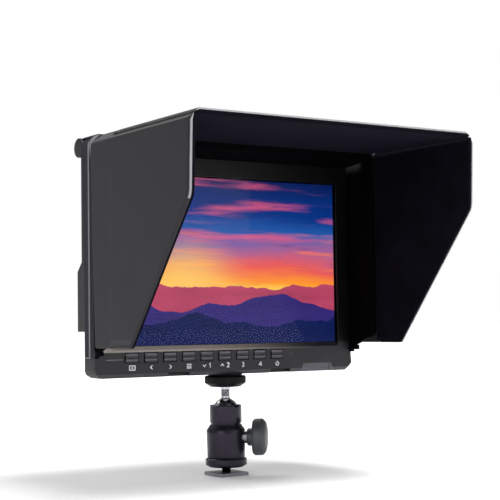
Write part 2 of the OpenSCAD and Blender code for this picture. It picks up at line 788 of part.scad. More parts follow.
module hood_frame() color(plastic) {
    difference() {
        union() {
            // Band around the case
            along_y(flange_front_y, rear_y) case_outline(wrap_t);
            along_y(web_y, flange_front_y + 0.1) case_outline(wrap_t - neck_in);
        }
        along_y(front_y, rear_y + eps) case_outline(frame_gap);
        span([-rim_x, web_y - eps, case_z - wrap_t - eps], [rim_x, front_y + eps, rim_z]);
        span([-wrap_x - eps, web_y - eps, case_z - wrap_t - eps],
            [wrap_x + eps, rear_y + eps, foot_low_z]);
    }
    both_sides() {
        along_x(rim_x, rim_out) rim_profile();
        // Thick front edge that carries the skirt and the hinge
        under_bevel(skirt_t)
            span([rim_out - 0.1, rim_y, rim_low_z + rim_corner_r], [carrier_x, rim_y + head_d, skirt_z]);
        // Stub at the frame's lower end, clear of the case
        difference() {
            span([rim_x, web_y - stub_l, rim_back_z - 1.3], [carrier_x, flange_front_y, rim_back_z + 1.4]);
            along_y(front_y, rear_y) case_outline(frame_gap);
        }
        // Side hinge loops
        for (z = loop_starts(side_loop_z0, side_loop_z1))
            difference() {
                union() {
                    translate([hinge_x, hinge_y, z]) cylinder(r = loop_r, h = loop_w);
                    span([flap_x, hinge_y, z], [carrier_x, rim_y + 1, z + loop_w]);
                }
                translate([hinge_x, hinge_y, z - eps])
                    cylinder(r = pin_r + pin_gap, h = loop_w + 2 * eps);
            }
    }
    // Top wall of the rim, its thick front edge and the lip in front of it
    under_bevel(skirt_t) {
        along_x(-rim_out, rim_out)
            polygon([[web_y + 0.2, rim_z], [rim_y, rim_z + rim_rise], [rim_y, skirt_z],
                [rim_y + head_d, skirt_z], [rim_y + head_d, rim_z + rim_rise + rim_t],
                [web_y + 0.2, rim_z + rim_t]]);
        span([-top_x, top_hinge_y + loop_r + flap_gap, skirt_z - lip_t], [top_x, rim_y + 1, skirt_z]);
    }
    for (x = loop_starts(-top_loop_x, top_loop_x))
        difference() {
            union() {
                translate([x, top_hinge_y, top_hinge_z]) rotate([0, 90, 0])
                    cylinder(r = loop_r, h = loop_w);
                span([x, top_hinge_y, skirt_z - lip_t], [x + loop_w, rim_y, skirt_z]);
            }
            translate([x - eps, top_hinge_y, top_hinge_z]) rotate([0, 90, 0])
                cylinder(r = pin_r + pin_gap, h = loop_w + 2 * eps);
        }
    // Shoulder that fills the corner behind the skirt
    intersection() {
        along_x(-wrap_x, wrap_x) difference() {
            translate([skirt_y - skirt_corner, hood_z - skirt_corner])
                square([skirt_corner + skirt_back + 0.2, skirt_corner - 0.2]);
            translate([skirt_y - skirt_corner, hood_z - skirt_corner]) circle(skirt_corner + 0.1);
        }
        along_y(skirt_y - skirt_corner, web_y + 0.2) case_outline(wrap_t);
    }
    // Rolled rail over the case's upper rear edge, with room for the battery plate
    rail_z = case_top + wrap_t - rail_drop - rail_r;
    difference() {
        along_x(-rim_x, rim_x) translate([rear_y + 1.4, rail_z]) circle(rail_r);
        along_x(-rim_x - eps, rim_x + eps) translate([rear_y + 1.4, rail_z]) circle(rail_r - 1.8);
        span([-half_w, rear_y - rail_r, case_z], [half_w, rear_y + 0.3, case_top + frame_gap]);
        span([-plate_w / 2 - plate_gap, rear_y - rail_r, plate_z0],
            [plate_w / 2 + plate_gap, plate_face_y + hook_h, plate_z0 + plate_h + plate_gap]);
    }
}

// Side profile of the skirt, with its round upper rear corner
module skirt_profile() {
    low = lit_z - flap_foot;
    r = skirt_corner;
    polygon([[rim_y, low], [skirt_y - skirt_lean, low], [skirt_y, hood_z - r], [skirt_y - r, hood_z],
        [rim_y, hood_z]]);
    translate([skirt_y - r, hood_z - r]) circle(r);
}

// What the skirt goes round: open below, and clear of the rim's top wall
module skirt_inside() {
    r = skirt_corner;
    low = case_z;
    front = rim_y - eps;
    translate([skirt_y - r, hood_z - r]) circle(r - skirt_t);
    translate([front, low]) square([skirt_y - r - front, skirt_z - low]);
    translate([front, low]) square([skirt_y + eps - front, rim_z + rim_t + flap_gap - low]);
}

module hood_skirt() color(leather) {
    under_bevel() {
        difference() {
            along_x(-hood_x, hood_x) skirt_profile();
            under_bevel(skirt_t) along_x(-carrier_x, carrier_x) skirt_inside();
        }
        span([-hood_x, top_hinge_y + loop_r + flap_gap, skirt_z], [hood_x, rim_y + 0.2, hood_z]);
    }
}

module side_hinge_wires() color(steel) {
    both_sides()
        translate([hinge_x, hinge_y, side_loop_z0]) cylinder(r = pin_r, h = side_loop_z1 - side_loop_z0);
}

module top_hinge_wire() color(steel) {
    translate([-top_loop_x, top_hinge_y, top_hinge_z]) rotate([0, 90, 0])
        cylinder(r = pin_r, h = 2 * top_loop_x);
}

// Outline of a side flap, with the edges that carry the binding drawn in by d
function slant(d) = let (a = [side_rear_y - flap_sole, lit_z - flap_foot],
    b = [hood_y + knee_back, lit_z + knee_h], u = (b - a) / norm(b - a)) [a + d * [-u[1], u[0]] * -1, u];
function knee(d) = let (s = slant(d), b = [hood_y + knee_back, lit_z + knee_h],
    c = [hood_y, side_top_z], v = (c - b) / norm(c - b), q = b + d * [v[1], -v[0]],
    k = s[1][0] * v[1] - s[1][1] * v[0], w = q - s[0], t = (w[0] * v[1] - w[1] * v[0]) / k) s[0] + t * s[1];
module side_outline(d) {
    s = slant(d);
    low = lit_z - flap_foot + d;
    sole = s[0] + s[1] * ((low - s[0][1]) / s[1][1]);
    polygon([[side_rear_y, low], sole, knee(d), [hood_y + d, side_top_z], [side_rear_y, side_top_z]]);
}

module side_board() color([0.3, 0.28, 0.26]) {
    under_bevel() along_x(flap_x + lining_t, flap_x + lining_t + board_t) side_outline(trim_w);
    for (s = fill_spans(side_loop_z0, side_loop_z1))
        difference() {
            union() {
                translate([hinge_x, hinge_y, s[0]]) cylinder(r = loop_r, h = s[1] - s[0]);
                span([flap_x + lining_t, side_rear_y - 0.1, s[0]],
                    [flap_x + lining_t + board_t, hinge_y, s[1]]);
            }
            translate([hinge_x, hinge_y, s[0] - eps])
                cylinder(r = pin_r + pin_gap, h = s[1] - s[0] + 2 * eps);
        }
}

module side_cover() color(leather) {
    under_bevel() along_x(flap_x + lining_t + board_t, hood_x) side_outline(trim_w);
}

module side_lining() color(velvet) {
    along_x(flap_x, flap_x + lining_t) side_outline(trim_w);
}

module side_binding() color(edging) {
    under_bevel() difference() {
        along_x(flap_x, hood_x) side_outline(0);
        along_x(flap_x - eps, hood_x + eps) side_outline(trim_w);
    }
}

module right_board() side_board();
module right_cover() side_cover();
module right_lining() side_lining();
module right_binding() side_binding();
module left_board() mirror([1, 0, 0]) side_board();
module left_cover() mirror([1, 0, 0]) side_cover();
module left_lining() mirror([1, 0, 0]) side_lining();
module left_binding() mirror([1, 0, 0]) side_binding();

module top_sheet(z, t) {
    span([-top_x, hood_y + trim_w, z], [top_x, top_rear_y, z + t]);
}

module top_board() color([0.3, 0.28, 0.26]) {
    under_bevel() top_sheet(flap_under_z + lining_t, board_t);
    for (s = fill_spans(-top_loop_x, top_loop_x))
        difference() {
            union() {
                translate([s[0], top_hinge_y, top_hinge_z]) rotate([0, 90, 0])
                    cylinder(r = loop_r, h = s[1] - s[0]);
                span([s[0], top_rear_y - 0.1, flap_under_z + lining_t],
                    [s[1], top_hinge_y, flap_under_z + lining_t + board_t]);
            }
            translate([s[0] - eps, top_hinge_y, top_hinge_z]) rotate([0, 90, 0])
                cylinder(r = pin_r + pin_gap, h = s[1] - s[0] + 2 * eps);
        }
}

module top_cover() color(leather) {
    under_bevel() top_sheet(flap_under_z + lining_t + board_t, cover_t);
}

module top_lining() color(velvet) {
    top_sheet(flap_under_z, lining_t);
}

module top_binding() color(edging) {
    under_bevel() span([-top_x, hood_y, flap_under_z], [top_x, hood_y + trim_w, hood_z]);
}

module foot_plate() color(steel) {
    difference() {
        span([-foot_w / 2, -foot_l / 2, 0], [foot_w / 2, foot_l / 2, foot_t]);
        translate([0, 0, -eps]) cylinder(r = stud_r, h = foot_t + 2 * eps);
    }
}

stud_up = 8;
module foot_stud() color([0.1, 0.1, 0.11]) {
    difference() {
        cylinder(r = stud_r, h = housing_z + stud_up);
        translate([0, 0, -eps]) cylinder(r = 1.5, h = 1.2 + eps, $fn = 6);
    }
}

grip_count = 40;
grip_depth = 0.45;
// Ring of straight grip teeth, from z0 to z1
module grip_ring(r, bore, z0, z1) {
    step = 180 / grip_count;
    translate([0, 0, z0]) linear_extrude(z1 - z0) difference() {
        polygon([for (i = [0:2 * grip_count - 1])
            (r - (i % 2) * grip_depth) * [cos(i * step), sin(i * step)]]);
        circle(bore);
    }
}

module lock_wheel() color(dark_metal) {
    bore = stud_r + 0.05;
    core = wheel_r - grip_depth - 0.3;
    rotate_extrude() polygon([[bore, wheel_z], [core - 1.2, wheel_z], [core, wheel_z + 1.2],
        [core, wheel_z + wheel_t], [bore, wheel_z + wheel_t]]);
    grip_ring(wheel_r, core - 1, wheel_z + 1, wheel_z + wheel_t - 0.4);
}

plunger_r = 5;
screw_z = housing_z + 11.4;
cup_t = 1.2;
cup_r = 7.95;
cup_low = ball_z - ball_r - ball_gap - cup_t;
plunger_top = cup_low - 0.1;
module ball_housing() color(dark_metal) {
    difference() {
        rotate_extrude() polygon([[0, housing_z], [housing_r - 0.7, housing_z],
            [housing_r - 0.4, housing_z + 0.4], [housing_r, collar_z - 3.2], [collar_r - 0.2, collar_z], [0, collar_z]]);
        translate([0, 0, housing_z - eps]) cylinder(r = stud_r, h = stud_up + eps);
        translate([0, 0, screw_z - screw_r - 1]) cylinder(r = plunger_r + 0.05, h = collar_z);
        translate([0, 0, cup_low - 0.1]) cylinder(r = cup_r + 0.05, h = collar_z);
        // Entry of the clamp screw, with its sunk seat
        rotate([0, 0, -knob_turn]) translate([0, 0, screw_z]) rotate([0, 90, 0]) {
            cylinder(r = screw_r + 0.05, h = housing_r + 4);
            translate([0, 0, housing_r - 1.6]) cylinder(r = 5.4, h = 6);
        }
    }
}

module ball_collar() color(dark_metal) {
    difference() {
        rotate_extrude() polygon([[0, collar_z], [collar_r - 0.6, collar_z],
            [collar_r - 0.6, collar_z + 0.9], [collar_r, collar_z + 1.2], [collar_r, collar_top - 0.5], [collar_r - 0.5, collar_top],
            [0, collar_top]]);
        translate([0, 0, ball_z]) sphere(r = ball_r + ball_gap, $fn = 96);
        translate([0, 0, collar_z - eps]) cylinder(r = cup_r + 0.05, h = cup_top - collar_z + 0.3 + eps);
        // Small notch in the mouth
        rotate([0, 0, -80]) translate([0, -1.6, collar_top - 1.4]) cube([collar_r + 2, 3.2, 4]);
    }
}

cup_top = ball_z - 2.4;
module ball_cup() color([0.8, 0.8, 0.78]) {
    difference() {
        translate([0, 0, cup_low]) cylinder(r = cup_r, h = cup_top - cup_low);
        translate([0, 0, ball_z]) sphere(r = ball_r + ball_gap, $fn = 96);
    }
}

module brake_plunger() color(steel) {
    difference() {
        translate([0, 0, screw_z - screw_r - 1])
            cylinder(r = plunger_r, h = plunger_top - screw_z + screw_r + 1);
        // Slot that the clamp screw's tip enters
        rotate([0, 0, -knob_turn])
            translate([1, -screw_r - 0.3, screw_z - screw_r - 1 - eps])
                cube([plunger_r, 2 * screw_r + 0.6, 2 * screw_r + 1.4 + eps]);
    }
}

module ball_stem() color([0.85, 0.85, 0.87]) {
    translate([0, 0, ball_z]) sphere(r = ball_r, $fn = 96);
    translate([0, 0, ball_z]) cylinder(r = stem_r, h = stem_h);
    translate([0, 0, disc_z - 0.01]) cylinder(r = thread_r, h = disc_t + thread_l);
}

disc_bevel = 1.7;
module lock_disc() color([0.1, 0.1, 0.11]) {
    bore = thread_r + thread_gap;
    core = disc_r - grip_depth - 0.3;
    rotate_extrude() polygon([[bore, disc_z], [core - 2.4, disc_z], [core, disc_z + disc_bevel],
        [core, case_z - 0.6], [disc_r - 2.2, case_z - 0.6], [disc_r - 2.2, case_z], [bore, case_z]]);
    grip_ring(disc_r, core - 1, disc_z + disc_bevel - 0.2, case_z - 1);
}

module on_knob_axis() {
    rotate([0, 0, -knob_turn]) translate([0, 0, screw_z]) rotate([0, 90, 0]) children();
}

hub_r = 5;
hub_l = 3.2;
dome_h = 2.6;
// Knob: a hub and a thick disc with a domed outer face
module clamp_knob() color([0.3, 0.31, 0.32]) {
    on_knob_axis() difference() {
        rotate_extrude($fn = 96) {
            polygon([[0, knob_off], [hub_r - 0.5, knob_off], [hub_r, knob_off + 0.5],
                [hub_r, knob_off + hub_l], [knob_r - 0.8, knob_off + hub_l],
                [knob_r, knob_off + hub_l + 0.8], [knob_r, knob_off + hub_l + knob_t - dome_h],
                [knob_r - 1.6, knob_off + hub_l + knob_t - dome_h + 1.5],
                [knob_r - 4.5, knob_off + hub_l + knob_t - 0.4], [0, knob_off + hub_l + knob_t]]);
        }
        translate([0, 0, knob_off - eps]) cylinder(r = screw_r, h = 8);
    }
}

module clamp_screw() color(steel) {
    on_knob_axis() {
        translate([0, 0, 1.6]) cylinder(r = screw_r, h = knob_off + 6 - 1.6);
        translate([0, 0, housing_r - 1.5]) cylinder(r = 3.6, h = knob_off - housing_r + 1.5);
    }
}

front_bezel();
rear_cover();
screen_glass();
lcd_panel();
backlight();
lcd_tray();
main_board();
button_board();
tact_switches();
for (i = [1:button_count])
    button(i);
status_light();
speakers();
picture_socket(in_x);  // picture_in_socket
picture_socket(out_x);  // picture_out_socket
power_socket();
phone_socket();
mount_insert();
battery_plate();
battery_contacts();
battery_latch();
latch_spring();
case_screws();
board_screws();
hood_frame();
hood_skirt();
side_hinge_wires();
top_hinge_wire();
left_board();
left_cover();
left_lining();
left_binding();
right_board();
right_cover();
right_lining();
right_binding();
top_board();
top_cover();
top_lining();
top_binding();
foot_plate();
foot_stud();
lock_wheel();
ball_housing();
ball_collar();
brake_plunger();
ball_cup();
ball_stem();
lock_disc();
clamp_knob();
clamp_screw();
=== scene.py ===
# %% [markdown]
# # A camera field monitor with a folding sun hood, on a small ball head
#
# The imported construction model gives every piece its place. This lesson dresses it: hard
# shells are softened copies of the construction's own solids, turned parts are profiles spun
# with numpy, and the hood's cloth is laid over its boards as worked-out sheets.

import json
import math

import bmesh
import bpy
import numpy as np
from mathutils import Matrix, Vector


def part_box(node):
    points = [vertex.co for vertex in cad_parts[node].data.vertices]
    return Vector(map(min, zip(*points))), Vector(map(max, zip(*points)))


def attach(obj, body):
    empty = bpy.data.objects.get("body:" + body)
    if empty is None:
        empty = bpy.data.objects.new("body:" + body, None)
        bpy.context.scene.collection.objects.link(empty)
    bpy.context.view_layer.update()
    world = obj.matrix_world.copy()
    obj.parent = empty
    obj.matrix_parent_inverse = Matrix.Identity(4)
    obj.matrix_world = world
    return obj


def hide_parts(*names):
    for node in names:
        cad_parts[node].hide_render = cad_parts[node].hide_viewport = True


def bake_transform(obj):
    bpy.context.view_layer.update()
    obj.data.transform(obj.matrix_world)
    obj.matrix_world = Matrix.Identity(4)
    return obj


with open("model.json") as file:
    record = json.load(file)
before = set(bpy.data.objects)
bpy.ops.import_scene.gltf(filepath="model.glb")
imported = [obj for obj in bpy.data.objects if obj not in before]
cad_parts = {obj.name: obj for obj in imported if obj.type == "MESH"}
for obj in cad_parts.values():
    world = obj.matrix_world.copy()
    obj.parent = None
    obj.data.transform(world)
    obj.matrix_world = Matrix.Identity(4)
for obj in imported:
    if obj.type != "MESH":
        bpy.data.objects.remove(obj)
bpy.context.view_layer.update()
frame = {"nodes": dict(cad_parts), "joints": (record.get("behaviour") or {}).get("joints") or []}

# %% [markdown]
# ## Measures
#
# Every place below is read from the construction, so a piece lands on what carries it. Only
# sizes that a solid can't show, such as the lit picture inside the glass, are written here.

# %% Measures
MM = 0.001
SPAN = {name: tuple(np.array(corner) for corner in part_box(name)) for name in frame["nodes"]}
AXIS = {joint["name"]: np.array(joint["pos_m"]) for joint in frame["joints"] if joint["type"] == "hinge"}


def middle(node, axis):
    return (SPAN[node][0][axis] + SPAN[node][1][axis]) / 2


bezel_low, bezel_high = SPAN["front_bezel"]
front_y, half_w = bezel_low[1], bezel_high[0]
case_low, case_top = bezel_low[2], bezel_high[2]
lit_w, lit_h = 150.8 * MM, 94.2 * MM
glass_foot = 2.2 * MM
lit_low = SPAN["screen_glass"][0][2] + glass_foot
button_xs = [middle(f"button_{number}", 0) for number in range(1, 10)]
print("picture from", round(lit_low, 4), "to", round(lit_low + lit_h, 4))

# %% [markdown]
# ## Camera
#
# The photograph was fitted with a pinhole camera. It stands to the left of the monitor, a
# little below the hood, and looks slightly up. Its axes are built from yaw, pitch and roll.

# %% Camera
CAMERA_PLACE = Vector((-0.4027, -0.6379, 0.0856))
CAMERA_YAW, CAMERA_PITCH, CAMERA_ROLL = (math.radians(a) for a in (33.42, 3.25, -0.80))
CAMERA_LENS = 94.4


def camera_matrix(place, yaw, pitch, roll):
    """The view direction is turned by yaw from +Y towards +X and raised by pitch; right and up
    then turn about it by roll."""
    ahead = Vector((math.sin(yaw) * math.cos(pitch), math.cos(yaw) * math.cos(pitch), math.sin(pitch)))
    right = Vector((math.cos(yaw), -math.sin(yaw), 0))
    up = right.cross(ahead)
    right_rolled = math.cos(roll) * right + math.sin(roll) * up
    up_rolled = math.cos(roll) * up - math.sin(roll) * right
    turn = Matrix((right_rolled, up_rolled, -ahead)).transposed().to_4x4()
    return Matrix.Translation(place) @ turn


camera = bpy.data.objects.new("camera", bpy.data.cameras.new("camera"))
camera.data.lens = CAMERA_LENS
camera.matrix_world = camera_matrix(CAMERA_PLACE, CAMERA_YAW, CAMERA_PITCH, CAMERA_ROLL)
bpy.context.scene.collection.objects.link(camera)
bpy.context.scene.camera = camera
bpy.context.scene.view_settings.view_transform = "Standard"
print("camera lens", camera.data.lens)

# %% [markdown]
# ## Node helpers
#
# Materials are short lists of nodes. `put` adds one node and fills its inputs with numbers or
# with other nodes' outputs, so each material reads from top to bottom like a recipe.


# %% Colours and nodes
def linear(red, green, blue):
    """Screen colour from 0 to 255 as linear light: c / 12.92 below 0.04045, and
    ((c + 0.055) / 1.055) to the power 2.4 above it."""
    c = np.array([red, green, blue]) / 255
    return (*np.where(c <= 0.04045, c / 12.92, ((c + 0.055) / 1.055) ** 2.4), 1.0)


def toned(colour, gain, lift=0.0):
    """The colour times gain plus lift, 1 at most."""
    return tuple(min(1.0, gain * c + lift) for c in colour[:3]) + (1.0,)


def feed(tree, target, value):
    """Fills a socket with a plain value or wires it from another socket."""
    if isinstance(value, bpy.types.NodeSocket):
        tree.links.new(value, target)
    else:
        target.default_value = value


def put(tree, kind, *values, **settings):
    """Adds a node. Values fill its inputs in order. A setting is the node's own property, or
    else the input of that name, with spaces written as underscores."""
    made = tree.nodes.new("ShaderNode" + kind)
    for name, value in settings.items():
        if hasattr(made, name):
            setattr(made, name, value)
        else:
            feed(tree, made.inputs[name.replace("_", " ")], value)
    for target, value in zip(made.inputs, values):
        feed(tree, target, value)
    return made


def calc(tree, operation, *values, clamp=False):
    return put(tree, "Math", *values, operation=operation, use_clamp=clamp).outputs[0]


def product(tree, *values):
    result = values[0]
    for value in values[1:]:
        result = calc(tree, "MULTIPLY", result, value)
    return result


def noise(tree, place, scale, detail, **settings):
    return put(tree, "TexNoise", Vector=place, Scale=scale, Detail=detail, **settings).outputs["Fac"]


def stretch(tree, value, low, high, start=0.0, stop=1.0):
    """The value's range low to high is carried to start to stop."""
    return put(tree, "MapRange", value, low, high, start, stop).outputs[0]


def soft_step(tree, value, low, high):
    """0 below low and 1 above high, or the other way round if low is the larger."""
    return put(tree, "MapRange", value, low, high, interpolation_type="SMOOTHSTEP").outputs[0]


def blend_colour(tree, mask, below, above):
    """above where mask is 1, below where it is 0; either is a colour or a socket."""
    mix = put(tree, "Mix", data_type="RGBA", Factor=mask)
    feed(tree, mix.inputs[6], below)
    feed(tree, mix.inputs[7], above)
    return mix.outputs[2]


def ramp(tree, source, *stops):
    """A colour ramp on source; a stop is (place, colour)."""
    made = put(tree, "ValToRGB", source)
    elements = made.color_ramp.elements
    elements[0].position, elements[0].color = stops[0]
    elements[1].position, elements[1].color = stops[-1]
    for place, colour in stops[1:-1]:
        elements.new(place).color = colour
    return made.outputs["Color"]


def relief(tree, height, strength, distance):
    return put(tree, "Bump", Height=height, Strength=strength, Distance=distance).outputs[0]


def object_place(tree):
    return put(tree, "TexCoord").outputs["Object"]


print("white in linear light", linear(255, 255, 255))


# %% Materials and groups
def start_material(name):
    """An empty material, its node tree and the place on the object."""
    material = bpy.data.materials.new(name)
    material.use_nodes = True
    material.node_tree.nodes.clear()
    return material, material.node_tree, object_place(material.node_tree)


def shade(tree, **settings):
    """The Principled shader with its settings, wired to the material's output."""
    shader = put(tree, "BsdfPrincipled", **settings)
    put(tree, "OutputMaterial", Surface=shader.outputs[0])


def start_group(name, **inputs):
    """An empty shader group. An input's default is a place of 3 numbers, a colour of 4 or one
    number."""
    group = bpy.data.node_groups.new(name, "ShaderNodeTree")
    for label, value in inputs.items():
        kind = {3: "Vector", 4: "Color"}[len(value)] if isinstance(value, tuple) else "Float"
        made = group.interface.new_socket(label, in_out="INPUT", socket_type="NodeSocket" + kind)
        made.default_value = value
    return group, group.nodes.new("NodeGroupInput").outputs


def end_group(group, **outputs):
    """Gives the group its outputs and wires them."""
    for label in outputs:
        kind = "Color" if label == "Colour" else "Float"
        group.interface.new_socket(label, in_out="OUTPUT", socket_type="NodeSocket" + kind)
    made = group.nodes.new("NodeGroupOutput")
    for label, value in outputs.items():
        feed(group, made.inputs[label], value)
    return group


print("node helpers ready")

# %% [markdown]
# ## Shared surface effects
#
# Moulded plastic, cast metal and cloth all break up light at a scale of tenths of a
# millimetre. Each effect is one group that gives a colour or a mask, a roughness and a height,
# and every material places it with its own scale. The edge group's mask places a painted
# highlight on edges.

# %% Groups: fine grain, painted edge highlight, leather grain
DARK = (0.05, 0.05, 0.05, 1)


def make_grain_group():
    """Two noises, one fine and one broad: the fine one lifts the surface, the broad one makes
    the shine uneven, as handling does. Colour = base * (1 + spread * (fine + broad - 1))."""
    group, given = start_group("fine_grain", Place=(0, 0, 0), Scale=2600.0, Base=DARK, Spread=0.25,
                               Rough=0.5, Unevenness=0.12)
    fine = noise(group, given["Place"], given["Scale"], 3.0, Roughness=0.6)
    broad = noise(group, given["Place"], 38.0, 4.0, Roughness=0.6)
    swing = calc(group, "SUBTRACT", calc(group, "ADD", fine, broad), 1.0)
    gain = calc(group, "MULTIPLY_ADD", swing, given["Spread"], 1.0)
    tint = put(group, "VectorMath", given["Base"], operation="SCALE", Scale=gain)
    rough = calc(group, "MULTIPLY_ADD", swing, given["Unevenness"], given["Rough"])
    return end_group(group, Colour=tint.outputs[0], Roughness=rough, Height=fine)


def make_edge_group():
    """Painted highlight on edges. Where the rounded normal leans away from the true one there is
    an edge; the mask is one minus their dot product, stretched and broken up by a noise."""
    group, given = start_group("rubbed_edge", Place=(0, 0, 0), Radius=0.0004, Strength=1.0)
    rounded = put(group, "Bevel", samples=4, Radius=given["Radius"])
    true = put(group, "NewGeometry").outputs["Normal"]
    likeness = put(group, "VectorMath", rounded.outputs[0], true, operation="DOT_PRODUCT")
    edge = stretch(group, likeness.outputs["Value"], 0.99, 0.75)
    broken = calc(group, "MULTIPLY", edge, noise(group, given["Place"], 180.0, 3.0))
    return end_group(group, Mask=calc(group, "MULTIPLY", broken, given["Strength"], clamp=True))


def make_pebble_group():
    """Bent cells make the pebbles and a soft noise the board's slight waviness. The valleys are
    darker: brightness = 0.72 + 0.22 * pebble + 0.24 * soft."""
    group, given = start_group("leather_grain", Place=(0, 0, 0), Scale=900.0, Base=DARK)
    warp = put(group, "TexNoise", Vector=given["Place"], Scale=420.0, Detail=2.0)
    shift = put(group, "VectorMath", warp.outputs["Color"], operation="SCALE", Scale=0.0009)
    bent = put(group, "VectorMath", given["Place"], shift.outputs[0], operation="ADD")
    cells = put(group, "TexVoronoi", feature="SMOOTH_F1", Vector=bent.outputs[0], Scale=given["Scale"],
                Smoothness=0.35)
    soft = noise(group, given["Place"], 24.0, 4.0, Roughness=0.55)
    pebble = calc(group, "SUBTRACT", 1.0, cells.outputs["Distance"])
    level = calc(group, "MULTIPLY_ADD", soft, 0.24, calc(group, "MULTIPLY_ADD", pebble, 0.22, 0.72))
    tint = put(group, "VectorMath", given["Base"], operation="SCALE", Scale=level)
    return end_group(group, Colour=tint.outputs[0], Roughness=stretch(group, soft, 0.0, 1.0, 0.5, 0.68),
                     Height=pebble)


GRAIN, EDGE, PEBBLE = make_grain_group(), make_edge_group(), make_pebble_group()
print("groups", GRAIN.name, EDGE.name, PEBBLE.name)

# %% [markdown]
# ## Finishes
#
# The real monitor has a black spark-eroded plastic case, a satin plastic hood frame, grey
# leatherette, black velvet and a ball head of blackened and chromed metal. Each finish takes a
# shared group and its own shine.


# %% Moulded plastics and painted metals
def moulded(name, colour, rough, bump=0.00002, grain=2600.0, edge=0.5, spread=0.25, metallic=0.0, gloss=0.3):
    """Grain on colour and height, and a paler tone on the edges as a painted highlight. gloss is
    the level of the clear reflection."""
    material, tree, place = start_material(name)
    fine = put(tree, "Group", node_tree=GRAIN, Place=place, Scale=grain, Base=colour, Spread=spread,
               Rough=rough).outputs
    edge_highlight = put(tree, "Group", node_tree=EDGE, Place=place, Strength=edge).outputs["Mask"]
    # the paler tone on the edges is a painted highlight
    shade(tree, Base_Color=blend_colour(tree, edge_highlight, fine["Colour"], toned(colour, 2.6, 0.03)),
          Roughness=fine["Roughness"], Normal=relief(tree, fine["Height"], 0.5, bump),
          Metallic=metallic, Specular_IOR_Level=gloss)
    return material


CASE_PLASTIC = moulded("case_plastic", linear(34, 32, 38), 0.4)
REAR_PLASTIC = moulded("rear_plastic", linear(36, 35, 39), 0.5, bump=0.00004)
# the near-black base is painted shade, for the frame's faces inside the hood
FRAME_PLASTIC = moulded("hood_frame_plastic", linear(5, 5, 7), 0.6, edge=0.2, gloss=0.02)
BUTTON_PLASTIC = moulded("button_plastic", linear(34, 33, 40), 0.34, edge=1.0, gloss=0.45)
# the rib's light grey is a painted highlight
RIB_HIGHLIGHT = moulded("rib_plastic", linear(112, 109, 116), 0.4)
HEAD_PAINT = moulded("head_paint", linear(44, 40, 52), 0.3, edge=0.8, metallic=0.5, spread=0.3)
BLACK_PAINT = moulded("black_paint", linear(6, 6, 8), 0.32, edge=0.8, metallic=0.1, gloss=0.15)
KNOB_RUBBER = moulded("knob_rubber", linear(78, 81, 85), 0.4, edge=0.6, metallic=0.25, spread=0.35)
SPEAKER_CLOTH = moulded("speaker_cloth", linear(24, 24, 26), 0.8, grain=1800.0, edge=0.0)
BOARD_CARD = moulded("stiff_card", linear(58, 54, 50), 0.8, grain=900.0, edge=0.0)
WHITE_DIFFUSER = moulded("diffuser", linear(226, 226, 222), 0.6, edge=0.0, spread=0.05)
SWITCH_BLACK = moulded("switch_black", linear(32, 32, 34), 0.4, edge=0.4)
LATCH_RED = moulded("latch_red", linear(128, 34, 28), 0.42, edge=0.6)
print("plastics ready")


# %% Painted light and shade that follow the place on a part
def tone_by_place(material, *zones):
    """A zone is (steps, colour): the colour replaces the finish's base colour, grain included,
    where all steps are 1. A step is (axis, from, low, high) in millimetres after from, on x, y,
    z or |x|, or a function that gives a mask."""
    tree = material.node_tree
    grain = next(n for n in tree.nodes if n.type == "GROUP" and n.node_tree == GRAIN)
    parts = put(tree, "SeparateXYZ", object_place(tree))
    at = {axis: parts.outputs[axis.upper()] for axis in "xyz"}
    at["wide"] = calc(tree, "ABSOLUTE", at["x"])

    def mask(step):
        if callable(step):
            return step(tree, at)
        axis, start, low, high = step
        return soft_step(tree, at[axis], start + low * MM, start + high * MM)

    tone = tuple(grain.inputs["Base"].default_value)
    for steps, colour in zones:
        tone = blend_colour(tree, product(tree, *map(mask, steps)), tone, colour)
    feed(tree, grain.inputs["Base"], tone)


def raised_panel(tree, at):
    """The low raised panel at the right of the strip: |x - panel_x| + lean * rise < its half
    width."""
    panel_x, lean = 60.5 * MM, 0.45
    off = calc(tree, "ABSOLUTE", calc(tree, "SUBTRACT", at["x"], panel_x))
    rise = calc(tree, "MULTIPLY", calc(tree, "SUBTRACT", at["z"], case_low), lean)
    return soft_step(tree, calc(tree, "ADD", off, rise), 12.4 * MM, 12.2 * MM)


def outside_case(tree, at):
    """Further out than the case by more than a millimetre, or on the rail behind it."""
    beside = calc(tree, "SUBTRACT", at["wide"], half_w)
    above = calc(tree, "SUBTRACT", at["z"], case_top)
    behind = calc(tree, "SUBTRACT", at["y"], 8 * MM)
    out = calc(tree, "MAXIMUM", calc(tree, "MAXIMUM", beside, above), behind)
    return soft_step(tree, out, 0.9 * MM, 1.2 * MM)


def edge_highlight_line(tree, at):
    """Painted highlight: a light line on the band's front edge or its lower end."""
    front = soft_step(tree, at["y"], front_y + 2.9 * MM, front_y + 2.6 * MM)
    low = soft_step(tree, at["z"], band_low + 0.7 * MM, band_low + 0.5 * MM)
    return calc(tree, "MAXIMUM", front, low)


